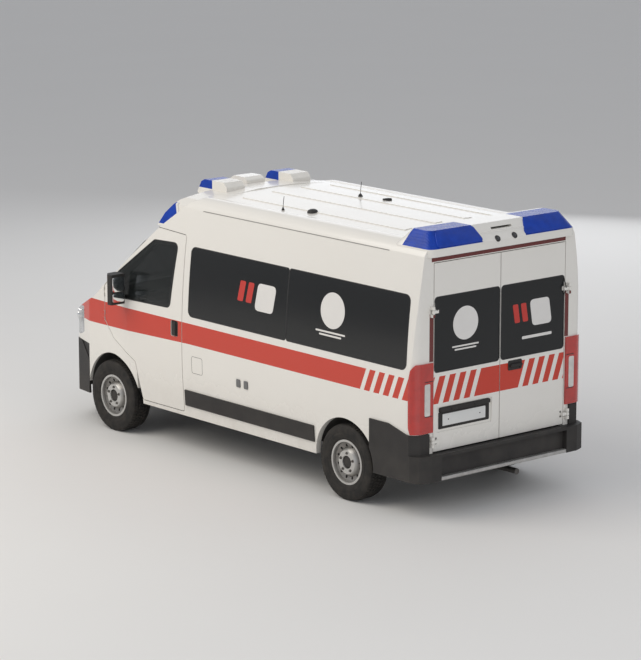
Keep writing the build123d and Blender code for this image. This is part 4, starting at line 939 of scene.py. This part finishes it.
def pad(shape, place, width, height, depth, crown, channels=()):
    """A crowned cushion with pulled-in sides and sewn channels."""
    small = min(width, height)
    pulled = []
    for x, y in dense(centred(width / 2, height / 2, small * 0.16, steps=6), small / 10):
        along = 1 - 0.045 * (1 - (2 * y / height) ** 2) * (abs(2 * x / width) > 0.9)
        aside = 1 - 0.035 * (1 - (2 * x / width) ** 2) * (abs(2 * y / height) > 0.9)
        pulled.append((x * along, y * aside))
    rings = []
    for share, level in PAD_LEVELS:
        ring = []
        for x, y in pulled:
            x, y, z = x * share, y * share, depth * level
            if level > 0.95:
                z += crown * (1 - (2 * x / width) ** 4) * (1 - (2 * y / height) ** 4)
                z -= CHANNEL_SIZE * sum(math.exp(-((x - at) / CHANNEL_SIZE) ** 2) for at in channels)
            ring.append(place @ Vector((x, y, z)))
        rings.append(ring)
    shape.rings(rings)


def tilted(y, z, x, degrees):
    """A place for a seat back, whose face looks forwards and a little up."""
    return facing((x, behind(y), z), (0, -1, math.tan(math.radians(degrees))))


def add_seats():
    for side, name in SIDES:
        x = side * 0.42
        pads = Shape("cab_seat_pads_" + name, "seat_fabric", "root", 60, ["cab_seats"], True)
        seat = facing((x, behind(0.795), 0.8), (0, -0.05, 1), REARWARD)
        pad(pads, seat, 475, 510, 112, 16, (-150, 150))
        pad(pads, tilted(1.098, 1.225, x, 9.5), 455, 690, 112, 14, (-140, 140))
        pad(pads, tilted(1.15, 1.66, x, 7), 255, 195, 78, 10)
        place = level_place((x, behind(0.84), 0.56))
        base = Shape("cab_seat_base_" + name, "interior_plastic")
        base.slab(centred(200, 200, 30), place, 0, 205, 8)
        base.slab(rounded(-228, 228, -235, 215, 40), place, 205, 240, 10)
        for post in (x - 0.055, x + 0.055):
            base.tube([(post, behind(1.118), 1.52), (post, behind(1.126), 1.6)], 6)
    x, y = -0.64, behind(1.5)
    pads = Shape("attendant_seat_pads", "vinyl", "root", 60, ["attendant_seat"], True)
    pad(pads, level_place((x, y + 0.22, 0.9)), 435, 470, 95, 13, (-110, 110))
    pad(pads, facing((x, y - 0.088, 1.27), REARWARD), 435, 690, 60, 10, (-110, 110))
    base = Shape("attendant_seat_base", "cabinet_white")
    base.slab(centred(200, 200, 20), level_place((x, y + 0.2, 0.56)), 0, 340, 6)


def add_cab_interior():
    """Hood, screen, vents and glove box of the dashboard, and the steering wheel's pad."""
    face = facing((0, behind(0.274), 1.15), (0, 0.961, 0.275))
    trim, dark = Shape("dashboard_trim", "interior_plastic"), Shape("dashboard_screen", "lens_dark")
    for x in (-700, -150, 150, 700):
        dark.slab(centred(60, 21, 12, x, 41), face, -4, 4, 2)
        for y in (30, 41, 52):
            trim.slab(centred(52, 2, 1, x, y, 2), face, 3, 7.5)
    dark.slab(rounded(-105, 105, -75, 10, 10), face, -4, 6, 2)
    trim.slab(rounded(240, 640, -85, 5, 20), face, -6, 4, 3)
    for x in (-75, 0, 75):
        trim.turned([(19, -4), (18, 14), (15, 17), (0.4, 18)], face @ Matrix.Translation((x, -105, 0)), 24)
    # Columns: share of the hood's height, share of its outline
    hood = ((-0.02, 1), (0.3, 1), (0.7, 0.96), (0.93, 0.86), (1, 0.6), (1, 0.05))
    trim.levels(circle(150, 36), level_place((0.4, behind(0.12), 1.292)),
                [(55 * level, 1.1 * share, 0.62 * share) for level, share in hood])
    for side, name in SIDES:
        end = facing((side * 0.825, behind(-0.058), 1.085), (side, 0, 0))
        trim.slab(centred(56, 205, 12), end, 0, 78, 6)
    hub = Shape("steering_pad", "interior_plastic", "steering_wheel_body")
    rows = [(4, 1, 1), (14, 1.04, 1.04), (28, 1, 1), (38, 0.88, 0.88), (43, 0.55, 0.55), (45, 0.04, 0.04)]
    hub.levels(rounded(-85, 85, -70, 65, 35, 6), facing((0.4, behind(0.4), 1.24), (0, 1, 1)), rows)


def add_cabinet_doors():
    """Doors and pulls on the patient room's cabinets."""
    doors, pulls = Shape("cabinet_doors", "cabinet_white"), Shape("cabinet_pulls", "steel_silver")
    # Columns: distance from the middle, low and high edge, number of doors, start and end
    for x, low, high, count, start, end in ((0.52, 0.6, 1.27, 4, 1.23, 2.88),
                                            (0.6, 2.045, 2.3, 5, 1.23, 4.18)):
        half, tall = (end - start) / count / 2, (high - low) / 2 / MM
        for y in spaced(behind(start + half), behind(end - half), count):
            seat = facing((x, y, (low + high) / 2), (-1, 0, 0))
            doors.slab(centred(half / MM - 6, tall, 15, steps=3), seat, -1, 12, 3)
            pulls.pull(seat, 50, tall - 50, 10, 30, 5)


def add_stretcher_details():
    """Guide channels, edge rails and a drawer front on the stretcher table."""
    low, high = [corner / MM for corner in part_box("stretcher_table")]
    top = level_place((0, 0, high.z * MM))
    metal, dark = Shape("stretcher_rails", "steel_silver"), Shape("stretcher_guides", "grey_plastic")
    for x in (low.x + 130, high.x - 130):
        dark.slab(rounded(x - 40, x + 40, low.y + 50, high.y - 40, 20), top, -1, 3, 1)
        for edge in (x - 34, x + 34):
            metal.slab(rounded(edge - 4, edge + 4, low.y + 60, high.y - 50, 3, 2), top, 2, 10, 2)
    for x, out in ((low.x, -1), (high.x, 1)):
        rail_x = x + out * 22
        metal.tube([(rail_x, low.y + 80, -45), (rail_x, high.y - 80, -45)], 9, top, 12)
        for y in spaced(low.y + 120, high.y - 120, 5):
            metal.tube([(x - out * 2, y, -45), (rail_x, y, -45)], 6, top)
    middle = (low + high) / 2 * MM
    rear = facing((middle.x, high.y * MM, middle.z), REARWARD)
    dark.slab(centred((high.x - low.x) / 2 - 50, (high.z - low.z) / 2 - 25, 12), rear, -1, 5, 2)
    metal.pull(rear, 90, 0, 4, 26, 6)


def add_door_cards():
    """Inner trim, pulls and pockets on the cab doors and the rear doors."""
    corners = [(0.52, 0.46), (1.05, 0.46), (1.05, 1.27), (0.33, 1.27), (0.33, 0.91), (0.44, 0.81)]
    for side, name in SIDES:
        body = f"cab_door_{name}_body"
        cast = caster([f"cab_door_{name}"], 0, -side, 0, side * 0.9, straight=True)
        card = Shape("cab_door_card_" + name, "interior_plastic", body)
        card.patch(dense(on_side(softened(corners, 0.05)), 0.06), cast, 12, 0.75)
        card.slab(centred(270, 30, 25), seated(cast, behind(0.7), 1.02), 0, 70, 15)
        card.slab(centred(220, 70, 30), seated(cast, behind(0.79), 0.56), 0, 50, 15)
        seat = seated(cast, behind(0.42), 1.16)
        pull = Shape("cab_door_pull_" + name, "steel_silver", body).slab(centred(50, 24, 12), seat, 10, 20, 4)
        pull.tube([(-35, 0, 18), (-35, 0, 34), (30, 0, 34)], 6, seat)
        body = f"rear_door_{name}_body"
        depth = end_caster([f"rear_door_{name}"], -1)(side * 0.4, 0.9)[0].y
        seat = facing((side * 0.405, depth, 0.94), FORWARD)
        card = Shape("rear_door_card_" + name, "grey_plastic", body)
        card.slab(centred(330, 270, 40), seat, -1, 10, 5)
        card.slab(rounded(-240, 240, -200, -60, 30), seat, 8, 28, 10)
        Shape("rear_door_pull_" + name, "steel_silver", body).pull(seat, 80, 120, 8, 40, 8, 10)


stage_and_light()
dress_frame()
for wheel_name in ("front_left", "front_right", "rear_left", "rear_right"):
    add_wheel(wheel_name)
for add_group in (add_window_seals, add_door_seals, add_rear_lamps, add_rear_door_details, add_step_tread,
                  add_side_details, add_films, add_front_lamps, add_wipers, add_grilles, add_mirror_details,
                  add_bumper_corners, add_roof_details, add_seats, add_cab_interior, add_cabinet_doors,
                  add_stretcher_details, add_door_cards):
    add_group()
for every_shape in Shape.every:
    every_shape.finish()
